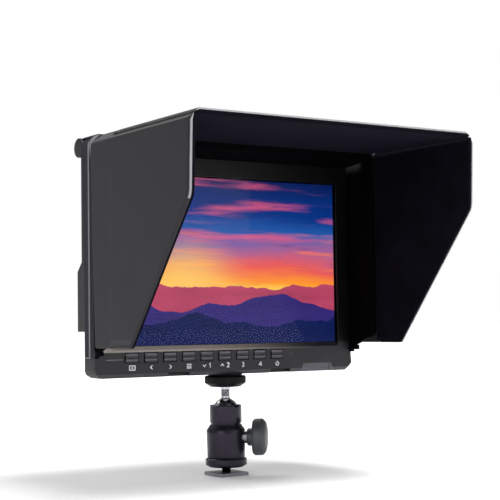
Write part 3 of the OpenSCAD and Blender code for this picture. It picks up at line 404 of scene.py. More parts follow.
band_low = SPAN["hood_frame"][0][2]
key_low = SPAN["button_1"][0][2]
STEP = 0.12
leaning_front = ("y", front_y, 3, 2)
tone_by_place(
    CASE_PLASTIC,
    # painted shade: the frame round the picture is darkened to near black, where the hood shades it
    ([("z", lit_low, -0.1, -0.1 + STEP)], linear(3, 3, 4)),
    # the slope under the picture, which catches its light and fades to the right
    ([("z", lit_low, -3.6, -3.3), ("z", lit_low, 0.1, -0.05), ("x", 0, 66, -30)], linear(152, 143, 138)),
    # the lower front edge, which leans back and is lit from the table
    ([("z", case_low, 2.3, 1.9), leaning_front], linear(66, 62, 68)),
    # painted light: the front of the raised panel at the right of the strip is painted paler
    ([raised_panel, ("z", case_low, 4.9, 4.7), leaning_front], linear(84, 82, 90)))
tone_by_place(
    FRAME_PLASTIC,
    # faces outside the case get a mid grey; inside the hood the base's near black stays as painted shade
    ([outside_case, ("y", 0, -10, -9)], linear(56, 54, 60)),
    # painted highlight on the rounded shoulder above the case's corner
    ([("z", 0, 174, 184), ("y", 0, -4.7, -5.1), ("wide", 0, 83, 85.5), ("y", 0, -24, -18)],
     linear(132, 130, 134)),
    # painted highlight: a light line on the band's front edge and lower end
    ([edge_highlight_line, ("wide", half_w, 1.7, 1.9)], linear(132, 130, 134)))
# bars of light and shade across every button
tone_by_place(BUTTON_PLASTIC, *(
    ([("z", key_low, low - STEP, low + STEP), ("z", key_low, high + STEP, high - STEP)], colour)
    for low, high, colour in (
        (4.3, 5.3, linear(92, 90, 98)), (2.5, 3.1, linear(12, 12, 14)), (1.5, 2.2, linear(88, 86, 94)))))
print("tones placed")


# %% Bare metals
def bare_metal(name, colour, rough, streak=(900.0, 900.0, 60.0), bump=0.000004):
    """A noise drawn long in one direction gives the turning or brushing marks."""
    material, tree, place = start_material(name)
    drawn = put(tree, "Mapping", place, Scale=streak)
    marks = noise(tree, drawn.outputs[0], 1.0, 4.0, Roughness=0.6)
    shade(tree, Base_Color=ramp(tree, marks, (0.3, toned(colour, 0.78)), (0.7, colour)),
          Roughness=stretch(tree, marks, 0.0, 1.0, 0.7 * rough, 1.3 * rough),
          Normal=relief(tree, marks, 0.4, bump), Metallic=1.0)
    return material


CHROME = bare_metal("chrome", linear(206, 206, 212), 0.2)
STEEL = bare_metal("steel", linear(150, 150, 156), 0.34, streak=(300.0, 1200.0, 1200.0))
BRASS = bare_metal("brass", linear(206, 172, 104), 0.28)
GOLD_CONTACT = bare_metal("contact_gold", linear(224, 186, 104), 0.22)
print("metals ready")


# %% Leatherette, velvet and edge tape
def leatherette():
    """Grey leather cloth: pebbles in the height, a broad shade and a weak sheen."""
    material, tree, place = start_material("leatherette")
    grain = put(tree, "Group", node_tree=PEBBLE, Place=place, Scale=1150.0, Base=linear(36, 34, 39)).outputs
    shade(tree, Base_Color=grain["Colour"], Roughness=grain["Roughness"],
          Normal=relief(tree, grain["Height"], 0.35, 0.00006), Sheen_Weight=0.05, Specular_IOR_Level=0.22)
    return material


def velvet():
    """Short black pile: very fine noise for the fibres, brushed patches, and a blue sheen."""
    material, tree, place = start_material("velvet")
    pile = noise(tree, place, 1500.0, 5.0, Roughness=0.75)
    both = calc(tree, "MULTIPLY", pile, noise(tree, place, 45.0, 5.0, Roughness=0.7))
    shade(tree, Base_Color=ramp(tree, both, (0.12, linear(3, 3, 5)), (0.42, linear(16, 16, 25))),
          Roughness=0.95, Normal=relief(tree, pile, 0.6, 0.00008), Sheen_Weight=0.06,
          Sheen_Roughness=0.5, Sheen_Tint=linear(120, 120, 160), Specular_IOR_Level=0.05)
    return material


def edge_tape(colour):
    """Woven tape: fine ribs from a wave on the piece's own place, with a soft shine. Its light
    colour is a painted highlight on the flaps' outer edge.
    """
    material, tree, place = start_material("edge_tape")
    ribs = put(tree, "TexWave", bands_direction="Z", Vector=place, Scale=520.0, Distortion=1.5,
               Detail=2.0).outputs["Fac"]
    shade(tree, Base_Color=ramp(tree, ribs, (0.1, toned(colour, 0.72)), (0.9, colour)),
          Roughness=0.5, Normal=relief(tree, ribs, 0.5, 0.00005))
    return material


# the tape's light grey is a painted highlight on the flaps' outer edge
LEATHER, VELVET, TAPE_HIGHLIGHT = leatherette(), velvet(), edge_tape(linear(160, 160, 164))
print("cloths ready")


# %% Glass, circuit boards and speckled finishes
def clear_glass():
    """Thin front glass with a coating against reflection, which acts like a low index."""
    material, tree, place = start_material("front_glass")
    dust = noise(tree, place, 60.0, 6.0, Roughness=0.7)
    shade(tree, Roughness=stretch(tree, dust, 0.0, 1.0, 0.0, 0.03), Base_Color=(1, 1, 1, 1),
          Transmission_Weight=1.0, IOR=1.1)
    return material


def circuit_board():
    """Green lacquer over copper: thin straight tracks from a brick pattern."""
    material, tree, place = start_material("circuit_board")
    turned = put(tree, "Mapping", place, Rotation=(math.pi / 2, 0, 0)).outputs[0]
    tracks = put(tree, "TexBrick", turned, Scale=260.0, Mortar_Size=0.06, Color1=linear(22, 74, 44),
                 Color2=linear(26, 84, 50), Mortar=linear(70, 120, 62))
    shade(tree, Base_Color=tracks.outputs["Color"], Roughness=0.3)
    return material


def speckled(name, scale, rough, *stops):
    """Two close tones mixed by a fine noise."""
    material, tree, place = start_material(name)
    shade(tree, Base_Color=ramp(tree, noise(tree, place, scale, 2.0), *stops), Roughness=rough)
    return material


GLASS, CIRCUIT = clear_glass(), circuit_board()
# the unlit status light is dark red, and the printed ink is off-white, thinner in places
LIGHT_WINDOW = speckled("light_window", 900.0, 0.15, (0.3, linear(20, 10, 12)), (0.7, linear(46, 16, 18)))
INK = speckled("printed_white", 2400.0, 0.55, (0.25, linear(226, 226, 228)), (0.6, linear(250, 250, 250)))
print("small finishes ready")

# %% [markdown]
# ## The picture on the screen
#
# The panel shows a made-up dusk: a blue sky, warm ribbons of cloud that rise from a glow, and
# three rows of hills. It is worked out from the place on the panel, so it stays sharp at any
# size and needs no image. Outside the lit area the panel is black.


# %% The lit panel
def streaks(tree, place, turn, scale, detail, seed):
    """Noise on a turned and stretched place, which draws it out into streaks."""
    drawn = put(tree, "Mapping", place, (seed, 0, seed), (0, turn, 0), scale)
    return noise(tree, drawn.outputs[0], 1.0, detail, Roughness=0.55)


def hill_line(tree, across, base, swing, bumps, seed):
    """Height of a hill's outline: base plus swing times a noise along the picture."""
    wave = put(tree, "TexNoise", noise_dimensions="1D", Scale=bumps, Detail=5.0, Roughness=0.5,
               W=calc(tree, "ADD", across, seed))
    return calc(tree, "ADD", calc(tree, "MULTIPLY", wave.outputs["Fac"], swing), base)


def sky_colour(tree, place, up):
    """The height is bent by slow noise before it picks a colour. Three kinds of ribbon, drawn
    from low left to high right, lie over it."""
    bend = calc(tree, "SUBTRACT", streaks(tree, place, -0.25, (1.6, 1, 5.0), 4.0, 3.1), 0.5)
    bent = calc(tree, "ADD", up, calc(tree, "MULTIPLY", bend, 0.22))
    sky = ramp(tree, bent, (0.30, linear(255, 226, 96)), (0.37, linear(255, 150, 44)),
               (0.45, linear(236, 92, 84)), (0.55, linear(160, 96, 150)), (0.65, linear(34, 92, 172)),
               (0.80, linear(4, 50, 130)), (1.0, linear(6, 26, 84)))
    for turn, scale, detail, seed, thin, thick, reach, share, colour in (
            (0.42, (1.5, 1, 9.0), 5.0, 7.7, 0.50, 0.68, (0.40, 0.62), 0.8, linear(222, 92, 128)),
            (0.2, (1.8, 1, 16.0), 6.0, 1.9, 0.52, 0.66, (0.80, 0.50), 0.85, linear(255, 128, 72)),
            (0.34, (2.2, 1, 13.0), 5.0, 12.4, 0.56, 0.72, None, 0.55, linear(40, 36, 104))):
        ribbon = soft_step(tree, streaks(tree, place, turn, scale, detail, seed), thin, thick)
        if reach:
            ribbon = calc(tree, "MULTIPLY", ribbon, soft_step(tree, up, *reach))
        sky = blend_colour(tree, calc(tree, "MULTIPLY", ribbon, share), sky, colour)
    return sky


def dusk_picture():
    """On the picture x and z run from 0 to 1 across the lit area."""
    material, tree, place = start_material("lit_panel")
    place = put(tree, "Mapping", place, (0.5, 0, -lit_low / lit_h), (0, 0, 0),
                (1 / lit_w, 1, 1 / lit_h)).outputs[0]
    parts = put(tree, "SeparateXYZ", place).outputs
    across, up = parts["X"], parts["Z"]
    picture = sky_colour(tree, place, up)
    # a glow low on the left, by the distance from its middle
    flat = put(tree, "VectorMath", place, (1, 0, 1), operation="MULTIPLY").outputs[0]
    off = put(tree, "VectorMath", flat, (0.3, 0, 0.36), operation="DISTANCE").outputs["Value"]
    glow = calc(tree, "MULTIPLY", soft_step(tree, off, 0.34, 0.02), 0.75)
    picture = blend_colour(tree, glow, picture, linear(255, 214, 110))
    # three rows of hills, the nearest one darkest
    for base, swing, bumps, seed, colour in (
            (0.27, 0.16, 3.2, 0.4, linear(176, 66, 96)),
            (0.13, 0.22, 2.3, 5.2, linear(48, 38, 112)),
            (0.00, 0.26, 2.9, 9.1, linear(8, 24, 78))):
        depth = calc(tree, "SUBTRACT", hill_line(tree, across, base, swing, bumps, seed), up)
        mist = streaks(tree, place, 0.0, (4.0, 1, 14.0), 4.0, seed)
        hill = blend_colour(tree, mist, toned(colour, 0.55), toned(colour, 1.5))
        picture = blend_colour(tree, soft_step(tree, depth, -0.002, 0.002), picture, hill)
    # black outside the lit area
    lit = product(tree, *(soft_step(tree, side, edge - sign * 0.0005, edge + sign * 0.0005)
                          for side in (across, up) for edge, sign in ((0, 1), (1, -1))))
    shade(tree, Emission_Color=blend_colour(tree, lit, (0, 0, 0, 1), picture), Emission_Strength=1.0,
          Base_Color=(0.004, 0.004, 0.005, 1), Roughness=0.3, Specular_IOR_Level=0.08)
    return material


LIT_PANEL = dusk_picture()
print("picture ready")

# %% [markdown]
# ## Shape helpers
#
# A shape is points on a grid: rows and columns of an array. One helper turns the grid into
# quads, closes it where it wraps, and turns every face outwards.


# %% Grids of points
def add_object(name, mesh, material):
    mesh.name = name
    mesh.materials.append(material)
    piece = bpy.data.objects.new(name, mesh)
    bpy.context.scene.collection.objects.link(piece)
    return piece


def hand_over(piece, body, node=None):
    """Says which body carries the piece, and hides the node that it stands in for."""
    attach(piece, body)
    if node:
        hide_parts(node)


def stacked(*parts):
    """Coordinates of different shapes, spread over one grid, as points."""
    return np.stack(np.broadcast_arrays(*parts), axis=-1)


def unit(vectors):
    return vectors / np.linalg.norm(vectors, axis=-1, keepdims=True)


def grid_faces(rows, columns, wrap_columns=False):
    """Corner (i, j) joins (i + 1, j), (i + 1, j + 1) and (i, j + 1), counted round where it wraps."""
    i = np.arange(rows - 1)[:, None]
    j = np.arange(columns if wrap_columns else columns - 1)[None, :]
    j_next = (j + 1) % columns
    quads = stacked(i * columns + j, (i + 1) * columns + j, (i + 1) * columns + j_next, i * columns + j_next)
    return quads.reshape(-1, 4)


def tidy_mesh(mesh, sharp_angle, outward=True):
    """Merges doubled points, which closes poles and seams, and turns the faces outwards."""
    shape = bmesh.new()
    shape.from_mesh(mesh)
    bmesh.ops.remove_doubles(shape, verts=shape.verts, dist=2e-7)
    bmesh.ops.dissolve_degenerate(shape, dist=1e-7, edges=shape.edges)
    if outward:
        bmesh.ops.recalc_face_normals(shape, faces=shape.faces)
    shape.to_mesh(mesh)
    shape.free()
    mesh.shade_smooth()
    mesh.set_sharp_from_angle(angle=math.radians(sharp_angle))


def grid_piece(name, points, material, wrap_columns=False, sharp_angle=40, outward=True, finishes=None):
    """finishes is (more materials, index of each quad): index 0 is the first material."""
    mesh = bpy.data.meshes.new(name)
    faces = grid_faces(*points.shape[:2], wrap_columns)
    mesh.from_pydata(points.reshape(-1, 3).tolist(), [], faces.tolist())
    if finishes:
        mesh.polygons.foreach_set("material_index", finishes[1].ravel().astype(np.int32))
    tidy_mesh(mesh, sharp_angle, outward)
    piece = add_object(name, mesh, material)
    for more in finishes[0] if finishes else ():
        mesh.materials.append(more)
    return piece


def end_caps(points):
    """Adds a first and a last row, each shrunk to one point, which closes a tube's ends."""
    caps = [points[row].mean(axis=0)[None, None].repeat(points.shape[1], axis=1) for row in (0, -1)]
    return np.concatenate([caps[0], points, caps[1]])


print("one quad of a grid:", grid_faces(2, 2).tolist())


# %% Round corners and turned pieces
def rounded_path(points, radii, steps=6):
    """A bent line with round corners: at a corner of radius r and turning angle a, the arc
    starts r * tan(a / 2) before it. Each arc is a quadratic curve through steps points."""
    points = np.asarray(points, float)
    result = [points[0]]
    t = np.linspace(0, 1, steps)[:, None]
    for before, corner, after, radius in zip(points[:-2], points[1:-1], points[2:], radii):
        into, out_of = unit(corner - before), unit(after - corner)
        reach = radius * math.tan(math.acos(np.clip(into @ out_of, -1, 1)) / 2)
        first, last = corner - into * reach, corner + out_of * reach
        arc_points = (1 - t) ** 2 * first + 2 * t * (1 - t) * corner + t ** 2 * last
        result.extend(arc_points if radius > 0 else [corner])
    result.append(points[-1])
    return np.array(result)


def spun(name, profile, material, segments=128, ridges=0, depth=0.0, grip=None, sharp_angle=32):
    """A profile of (radius, height) turned round Z: x = r cos a, y = r sin a. Where grip(r) is
    true the radius drops by depth times a triangle wave of the given number of ridges."""
    radius, height = np.hsplit(np.asarray(profile, float), 2)
    angle = np.arange(segments) * 2 * math.pi / segments
    if ridges:
        wave = np.abs(((angle * ridges / (2 * math.pi)) % 1.0) * 2 - 1)
        radius = radius - depth * wave * grip(radius)
    points = stacked(radius * np.cos(angle), radius * np.sin(angle), height)
    return grid_piece(name, points, material, wrap_columns=True, sharp_angle=sharp_angle)


def turn_to(piece, start, direction):
    """Moves a spun piece so that its axis runs from start along direction."""
    turn = Vector(direction).to_track_quat("Z", "Y").to_matrix().to_4x4()
    piece.data.transform(Matrix.Translation(Vector(start)) @ turn)
    return piece


def settled(piece):
    """Writes the piece's modifiers into its mesh."""
    bpy.context.view_layer.update()
    finished = piece.evaluated_get(bpy.context.evaluated_depsgraph_get())
    old, piece.data = piece.data, bpy.data.meshes.new_from_object(finished)
    piece.modifiers.clear()
    bpy.data.meshes.remove(old)
    return piece


print("points on a path with one round corner:", len(rounded_path([(0, 0), (1, 0), (1, 1)], (0.5,))))

# %% [markdown]
# ## Softened shells
#
# A moulded or milled part is never razor sharp. The construction's solid has the right shape,
# so a copy of it is merged, its flat faces are joined again, and its real edges get a bevel
# of a few tenths of a millimetre, which catches the light as on the real part.

# %% Softened copies of the construction's solids
SHORT_EDGE = 0.7 * MM
EDGE_ANGLE = math.radians(28)
FLAT_ANGLE = math.radians(0.4)


def mesh_values(items, name, width, kind):
    """One attribute of all vertices or edges as rows of the given width."""
    values = np.zeros(len(items) * width, kind)
    items.foreach_get(name, values)
    return values.reshape(-1, width)


def soften(node, name, material, width, body, segments=2, weigh=None, adjust=None):
    """A copy of the node's mesh with bevelled edges, width in millimetres. weigh(middles) gives
    each edge's share of the width, 0 for an edge that stays sharp, and adjust(points) moves the
    copy's points first."""
    shape = bmesh.new()
    shape.from_mesh(frame["nodes"][node].data)
    bmesh.ops.remove_doubles(shape, verts=shape.verts, dist=1e-6)
    bmesh.ops.dissolve_limit(shape, angle_limit=FLAT_ANGLE, verts=shape.verts, edges=shape.edges)
    bmesh.ops.triangulate(shape, faces=[face for face in shape.faces if len(face.verts) > 4])
    mesh = bpy.data.meshes.new(name)
    shape.to_mesh(mesh)
    weights = np.array([len(edge.link_faces) == 2 and edge.calc_face_angle() > EDGE_ANGLE
                        and edge.calc_length() > SHORT_EDGE for edge in shape.edges], np.float32)
    shape.free()
    points = mesh_values(mesh.vertices, "co", 3, float)
    if weigh:
        ends = mesh_values(mesh.edges, "vertices", 2, np.int32)
        weights *= weigh(points[ends].mean(axis=1))
    if adjust:
        mesh.vertices.foreach_set("co", adjust(points.copy()).ravel())
    mesh.attributes.new("bevel_weight_edge", "FLOAT", "EDGE").data.foreach_set("value", weights)
    mesh.shade_smooth()
    mesh.set_sharp_from_angle(angle=EDGE_ANGLE)
    piece = add_object(name, mesh, material)
    bevel = piece.modifiers.new("soft_edges", "BEVEL")
    bevel.width = width * MM
    bevel.segments = segments
    bevel.limit_method = "WEIGHT"
    bevel.use_clamp_overlap = False
    level = piece.modifiers.new("flat_faces", "WEIGHTED_NORMAL")
    level.weight = 100
    level.keep_sharp = True
    hand_over(piece, body, node)


print("edges under", SHORT_EDGE, "m stay sharp")

# %% The monitor's shells
light_x, light_z = middle("status_light", 0), middle("status_light", 2)
sill_z = lit_low - 0.8 * MM
rear_y = 9.0 * MM
rail_half = half_w - 1.9 * MM
rail_r = 5.4 * MM
rail_z = SPAN["hood_frame"][1][2] - 0.8 * MM - rail_r
sill_lift = 0.65 * MM
slant_foot, slant_rise = 0.2 * MM, 3.2 * MM
NEAR = 0.05 * MM


def outline_first(middles):
    """The bezel's outer front edge gets the whole width and every other edge a quarter of it,
    but the status light's small hole stays sharp."""
    x, y, z = middles.T
    outer = np.maximum(np.abs(x) - half_w, case_low - z) > -0.2 * MM
    share = np.where(outer & (y < front_y + 0.2 * MM), 1.0, 0.25)
    share[np.hypot(x - light_x, z - light_z) < 1.8 * MM] = 0.0
    return share


def raise_sill(points):
    """The window's lower edge comes up to the picture, as in the photograph."""
    x, y, z = points.T
    z[(np.abs(z - sill_z) < NEAR) & (np.abs(x) < half_w - 4 * MM)] += sill_lift
    return points


def slant_band(points):
    """The band's rear side edges slant: on the real frame they let the case's side be seen. The
    rail's ends go on to the case's sides."""
    x, y, z = points.T
    end = (np.abs(np.abs(x) - rail_half) < NEAR) & (y > rear_y + 0.02 * MM)
    rear = (np.abs(x) > rail_half + 0.3 * MM) & (np.abs(y - rear_y) < NEAR)
    y[rear] = slant_foot + slant_rise * (z[rear] - case_low) / (case_top - case_low)
    x[end] = np.sign(x[end]) * (half_w - NEAR)
    return points


def close_rail():
    """A round plug closes each end of the rail: a low disc with a rounded rim."""
    plug_t = 0.8 * MM
    profile = rounded_path([(0, 0), (rail_r, 0), (rail_r, plug_t), (0, plug_t)], (0, 0.5 * MM), 5)
    for side, sign in (("left", -1), ("right", 1)):
        plug = spun(f"rail_plug_{side}", profile, REAR_PLASTIC, segments=64)
        turn_to(plug, (sign * (half_w + 0.02 * MM), rear_y + 1.4 * MM, rail_z), (sign, 0, 0))
        hand_over(plug, "monitor")


soften("front_bezel", "bezel_shell", CASE_PLASTIC, 0.9, "monitor", segments=3,
       weigh=outline_first, adjust=raise_sill)
soften("rear_cover", "rear_shell", REAR_PLASTIC, 0.3, "monitor")
soften("hood_frame", "hood_frame_shell", FRAME_PLASTIC, 0.3, "monitor", adjust=slant_band)
close_rail()
soften("battery_plate", "battery_plate_shell", REAR_PLASTIC, 0.2, "monitor")
soften("battery_latch", "battery_latch_shell", LATCH_RED, 0.15, "latch")
for number in range(1, 10):
    soften(f"button_{number}", f"button_cap_{number}", BUTTON_PLASTIC, 0.16, f"key_{number}")
print("shells softened")

# %% What keeps its own shape
KEPT = {
    LIT_PANEL: "lcd_panel", CIRCUIT: "main_board button_board", LIGHT_WINDOW: "status_light",
    WHITE_DIFFUSER: "backlight ball_cup", SPEAKER_CLOTH: "speakers", BRASS: "mount_insert",
    SWITCH_BLACK: "tact_switches power_socket phone_socket", GOLD_CONTACT: "battery_contacts",
    BOARD_CARD: "left_board right_board top_board",
    STEEL: "lcd_tray picture_in_socket picture_out_socket latch_spring case_screws board_screws "
           "side_hinge_wires top_hinge_wire brake_plunger"}
for material, nodes in KEPT.items():
    for node in nodes.split():
        slots = frame["nodes"][node].data.materials
        slots.clear()
        slots.append(material)
print("finishes on kept nodes:", len(KEPT))

# %% [markdown]
# ## Front glass
#
# The glass lies on the panel. Two faces in the same place would flicker, so the glass's copy
# stops three hundredths of a millimetre short of the panel.

# %% Front glass
GLASS_AIR = 0.03 * MM
glass_rear = SPAN["screen_glass"][1][1]


def lift_glass(points):
    points[points[:, 1] > glass_rear - GLASS_AIR, 1] -= GLASS_AIR
    return points


soften("screen_glass", "front_glass", GLASS, 0.15, "monitor", adjust=lift_glass)
print("glass in place")

# %% [markdown]
# ## Hood cloth
#
# Leatherette is glued round the outside of each stiff board and black velvet lines the inside.
# Both run on over the fold to the frame, which is the hinge of a real sun hood. Each cloth is
# a grid: one direction follows its profile, the other goes from the frame to the front edge.

# %% Measures of the hood
hood_x = SPAN["right_cover"][1][0]
flap_x = SPAN["right_lining"][0][0]
side_low, side_top = SPAN["right_binding"][0][2], SPAN["right_binding"][1][2]
hood_front = SPAN["right_binding"][0][1]
side_rear = SPAN["right_cover"][1][1]
hood_top, under_top = SPAN["top_cover"][1][2], SPAN["top_lining"][0][2]
top_half = SPAN["top_lining"][1][0]
bevel_w = 4.7 * MM
bevel_sum = hood_x + hood_top - bevel_w
flap_sole, knee_rise, knee_back = 17.5 * MM, 72.1 * MM, 1.7 * MM
fold_reach = 1.6 * MM
side_fold_y = AXIS["right_flap_fold"][1]
top_fold_y = AXIS["top_flap_fold"][1]
rim_front_y = side_fold_y + fold_reach
skirt_front_y = top_fold_y + fold_reach
sole = np.array([side_rear - flap_sole, side_low])
knee = np.array([hood_front + knee_back, lit_low + knee_rise])
crest = np.array([hood_front, side_top])
WALL = {"cover": 0.75 * MM, "lining": 0.55 * MM}
tape_lap = 1.0 * MM
wave_h, calm_reach = 0.12 * MM, 20 * MM
fold_zone, fold_steps = 5.2 * MM, 22
SIDE_ROWS, TOP_ROWS, LINING_POINTS = 30, 34, 40
print("knee of the side flap at", knee.round(4))


# %% Cloth over a fold
def fold_to_front(start, ends, steps):
    """Rows from the frame to the front: first even steps over the fold, then steps to each
    column's own end."""
    fold = start - np.linspace(0, fold_zone, fold_steps)
    t = np.linspace(0, 1, steps + 1)[1:]
    far = fold[-1] + t[:, None] * (ends[None, :] - fold[-1])
    return np.concatenate([np.repeat(fold[:, None], len(ends), axis=1), far])


def waviness(y, z, start, seed):
    """Slow sine waves of the glued board, no more than wave_h high, that begin behind the fold."""
    calm = np.clip((start - fold_zone - y) / calm_reach, 0, 1)
    waves = 0.6 * np.sin(y * 62 + seed) * np.sin(z * 41 + 2 * seed) + 0.4 * np.sin(y * 23 - z * 67 + seed)
    return np.abs(wave_h * waves) * calm


def lay_cloth(side, layer, points, axis, sign):
    """The grid is the face that is seen. It gets its thickness towards the board, takes the
    construction's place and bends over the fold."""
    outside = layer == "cover"
    piece = grid_piece(f"{side}_{layer}_cloth", points, LEATHER if outside else VELVET, sharp_angle=60,
                       outward=False)
    faces = piece.data.polygons
    facing = np.sign(faces[len(faces) // 2].normal[axis]) * sign
    wall = piece.modifiers.new("wall", "SOLIDIFY")
    wall.thickness = WALL[layer]
    wall.offset = -facing if outside else facing
    settled(piece)
    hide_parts(f"{side}_{layer}")
    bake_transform(piece)


print("rows over the fold:", fold_steps)


# %% Side cloths
def front_edge(height, inset):
    """y of the side flap's front edge at a height, drawn in by inset: the larger of the slanted
    line's and the upright line's y, each moved by inset over its normal's y part."""
    result = np.full(np.shape(height), -1.0)
    for low, high in ((sole, knee), (knee, crest)):
        along = unit(high - low)
        line = low[0] + (height - low[1]) * along[0] / along[1] + inset / along[1]
        result = np.maximum(result, line)
    return result


def side_sheet(sign, layer):
    """Rows of a side cloth follow y; columns follow the profile from the lower edge up to the
    bevel. Points on the outside lie at the hood's width, on the inside at the flap's width. At
    the frame the lining's top edge comes up to the skirt, which keeps the light out."""
    low = side_low + tape_lap
    if layer == "cover":
        profile = rounded_path([(hood_x, low), (hood_x, bevel_sum - hood_x), (bevel_sum - side_top, side_top),
                                (flap_x + 0.03 * MM, side_top)], (0.9 * MM, 0.2 * MM), 5)
        upright = stacked(hood_x, np.linspace(low, profile[1][1], 27)[:-1])
        profile = np.concatenate([upright, profile[1:]])
    else:
        profile = stacked(flap_x, np.linspace(low, side_top, LINING_POINTS))
    x, z = profile.T
    y = fold_to_front(rim_front_y, front_edge(z, tape_lap), SIDE_ROWS)
    sink = waviness(y, z, rim_front_y, 1 + sign) * (z < side_top - 6 * MM)
    if layer == "cover":
        x = x - sink
    else:
        wire_w, wire_h = 1.3 * MM, 0.15 * MM
        x = x + sink - wire_h * np.exp(-((y - side_fold_y) / wire_w) ** 2)
        tab = (z > side_top - 0.01 * MM) & (y > skirt_front_y - 0.5 * MM)
        z = z + (under_top - 0.02 * MM - side_top) * tab
    return stacked(sign * x, y, z)


for sign, side in ((-1, "left"), (1, "right")):
    for layer in ("cover", "lining"):
        lay_cloth(side, layer, side_sheet(sign, layer), 0, sign)

# %% Top cloth
LIP = 0.32 * MM
top_sole = under_top - 0.08 * MM


def top_sheet(layer):
    """Columns follow the profile across, rows run from the frame to the front edge. The lining
    turns down a little at its sides, which keeps the light out between the flaps."""
    if layer == "cover":
        half = top_half + 0.05 * MM
        left = rounded_path([(-half, top_sole), (-half, bevel_sum - half), (hood_top - bevel_sum, hood_top),
                             (0, hood_top)], (0.2 * MM, 0.9 * MM), 5)
        inner = stacked(np.linspace(left[-2][0], 0, 16)[1:], hood_top)
        left = np.concatenate([left[:-1], inner])
        profile = np.concatenate([left, (left * (-1, 1))[-2::-1]])
        start, side = skirt_front_y, -1
    else:
        half = top_half - 0.45 * MM
        lip = np.array([(-half, top_sole - LIP), (-half, top_sole - LIP / 2)])
        flat = stacked(np.linspace(-half, half, LINING_POINTS), top_sole)
        profile = np.concatenate([lip, flat, lip[::-1] * (-1, 1)])
        start, side = skirt_front_y + 0.8 * MM, 1
    x, z = profile.T
    y = fold_to_front(start, np.full(len(profile), hood_front + tape_lap), TOP_ROWS)
    sink = waviness(y, x, start, 4.0) * (np.abs(x) < top_half - 8 * MM)
    return stacked(x, y, z + side * sink)


for layer in ("cover", "lining"):
    lay_cloth("top", layer, top_sheet(layer), 2, 1)


# %% Skirt: the fixed cloth between the frame and the folds
def away_from_flaps(middles):
    """0 on the skirt's front edges, where the flaps' cloth goes on without a seam, else 1."""
    y = middles[:, 1]
    return np.minimum(np.abs(y - rim_front_y), np.abs(y - skirt_front_y)) > 0.1 * MM


soften("hood_skirt", "skirt_cloth", LEATHER, 0.8, "monitor", segments=4, weigh=away_from_flaps)
print("skirt softened")

# %% [markdown]
# ## Bound edges
#
# At the boards' free edges the leatherette and the velvet are turned in, and a narrow light
# line is painted at the outer corner as a highlight. The section is a flat band with round
# corners, carried along the flap's outline; at the top it is cut to the hood's bevel.

# %% Bound edges
HIGHLIGHT_W, HIGHLIGHT_DEEP = 0.95 * MM, 0.45 * MM
LAP, PROUD, ROUND = 1.25 * MM, 0.1 * MM, 0.5 * MM
bevel_line = bevel_sum + 0.15 * MM


def band_section(inner, outer):
    """Closed section (across, depth): a rim with two round corners, and two faces that lap the
    board. Also each side's finish: 0 leatherette, 1 painted highlight, 2 velvet."""
    low, high = inner - PROUD, outer + PROUD
    a = np.linspace(0, math.pi / 2, 6)
    corner = ROUND * (1 - stacked(np.sin(a), np.cos(a)))
    rim = stacked(np.linspace(low + ROUND, high - ROUND, 8)[1:-1], 0.0)
    tuck, deep = 0.25 * MM, LAP + 0.15 * MM
    ends = [(high, LAP), (high - tuck, deep), (low + tuck, deep), (low, LAP)]
    section = np.concatenate([(low, 0) + corner[::-1], rim, (high, 0) + corner * (-1, 1), ends])
    across, depth = ((section + np.roll(section, -1, axis=0)) / 2).T
    finish = np.where(across > (low + high) / 2, 0, 2)
    finish[(across > high - HIGHLIGHT_W) & (depth < HIGHLIGHT_DEEP)] = 1
    return section, finish


def lay_tape(side, points, finish):
    piece = grid_piece(f"{side}_edge", end_caps(points), LEATHER, wrap_columns=True, sharp_angle=50,
                       finishes=([TAPE_HIGHLIGHT, VELVET], finish))
    hand_over(piece, f"{side}_flap", f"{side}_binding")


def side_tape(side, sign):
    """The section stands on the outline: its depth runs along the inward normal. The left
    flap's painted highlight stops below the knee, where that edge is left dark as painted shade."""
    path = rounded_path([(side_rear, side_low), sole, knee, crest], (2.5 * MM, 9 * MM), 9)
    parts = [path[:1]]
    for a, b in zip(path[:-1], path[1:]):
        count = max(1, int(np.linalg.norm(b - a) / (3 * MM)))
        parts.append(a + (b - a) * np.linspace(0, 1, count + 1)[1:, None])
    path = np.concatenate(parts)
    ahead = unit(np.gradient(path, axis=0))
    inward = np.stack([ahead[:, 1], -ahead[:, 0]], axis=-1)
    section, finish = band_section(flap_x, hood_x)
    y, z = np.moveaxis(path[:, None] + inward[:, None] * section[:, 1:], -1, 0)
    x = np.minimum(section[:, 0], bevel_line - z)
    quads = np.repeat(finish[None], len(path) + 1, axis=0)
    # painted shade: the left flap's edge has no painted highlight below the knee
    if side == "left":
        below = path[:, 1] < knee[1] - 2 * MM
        quads[np.ix_(np.append(below[0], below), finish == 1)] = 0
    lay_tape(side, stacked(sign * x, y, z), quads)


def top_tape():
    """The same section, carried across the top flap's front edge."""
    bend = bevel_sum - hood_top
    across = np.sort(np.append(np.linspace(-top_half, top_half, 60), (-bend, bend)))[:, None]
    section, finish = band_section(under_top, hood_top)
    z = np.minimum(section[:, 0], bevel_line - np.abs(across))
    points = stacked(across, hood_front + section[:, 1], z)
    lay_tape("top", points, np.repeat(finish[None], len(across) + 1, axis=0))


for sign, side in ((-1, "left"), (1, "right")):
    side_tape(side, sign)
top_tape()
print("tapes in place")

# %% [markdown]
# ## Ball head
#
# Turned parts: each is a profile of radius and height, with small round corners, spun round
# the head's axis. Ridges for grip are a triangle wave on the radius. Profiles are in
# millimetres where they are typed.

# %% Ball, stem and thread
ball_r = 7.5 * MM
ball_z = SPAN["ball_stem"][0][2] + ball_r
stem_r, sleeve_r, camera_thread_r = 2.6 * MM, 3.1 * MM, 3.1 * MM
disc_low, disc_high = SPAN["lock_disc"][0][2], SPAN["lock_disc"][1][2] - 0.06 * MM
stem_top = SPAN["ball_stem"][1][2]


def thread_profile(radius, low, high, pitch, depth):
    """Zigzag between the crest and the root of the thread."""
    step = np.arange(2 * int((high - low) / pitch) + 1)
    return stacked(np.where(step % 2, radius, radius - depth), low + step * pitch / 2)


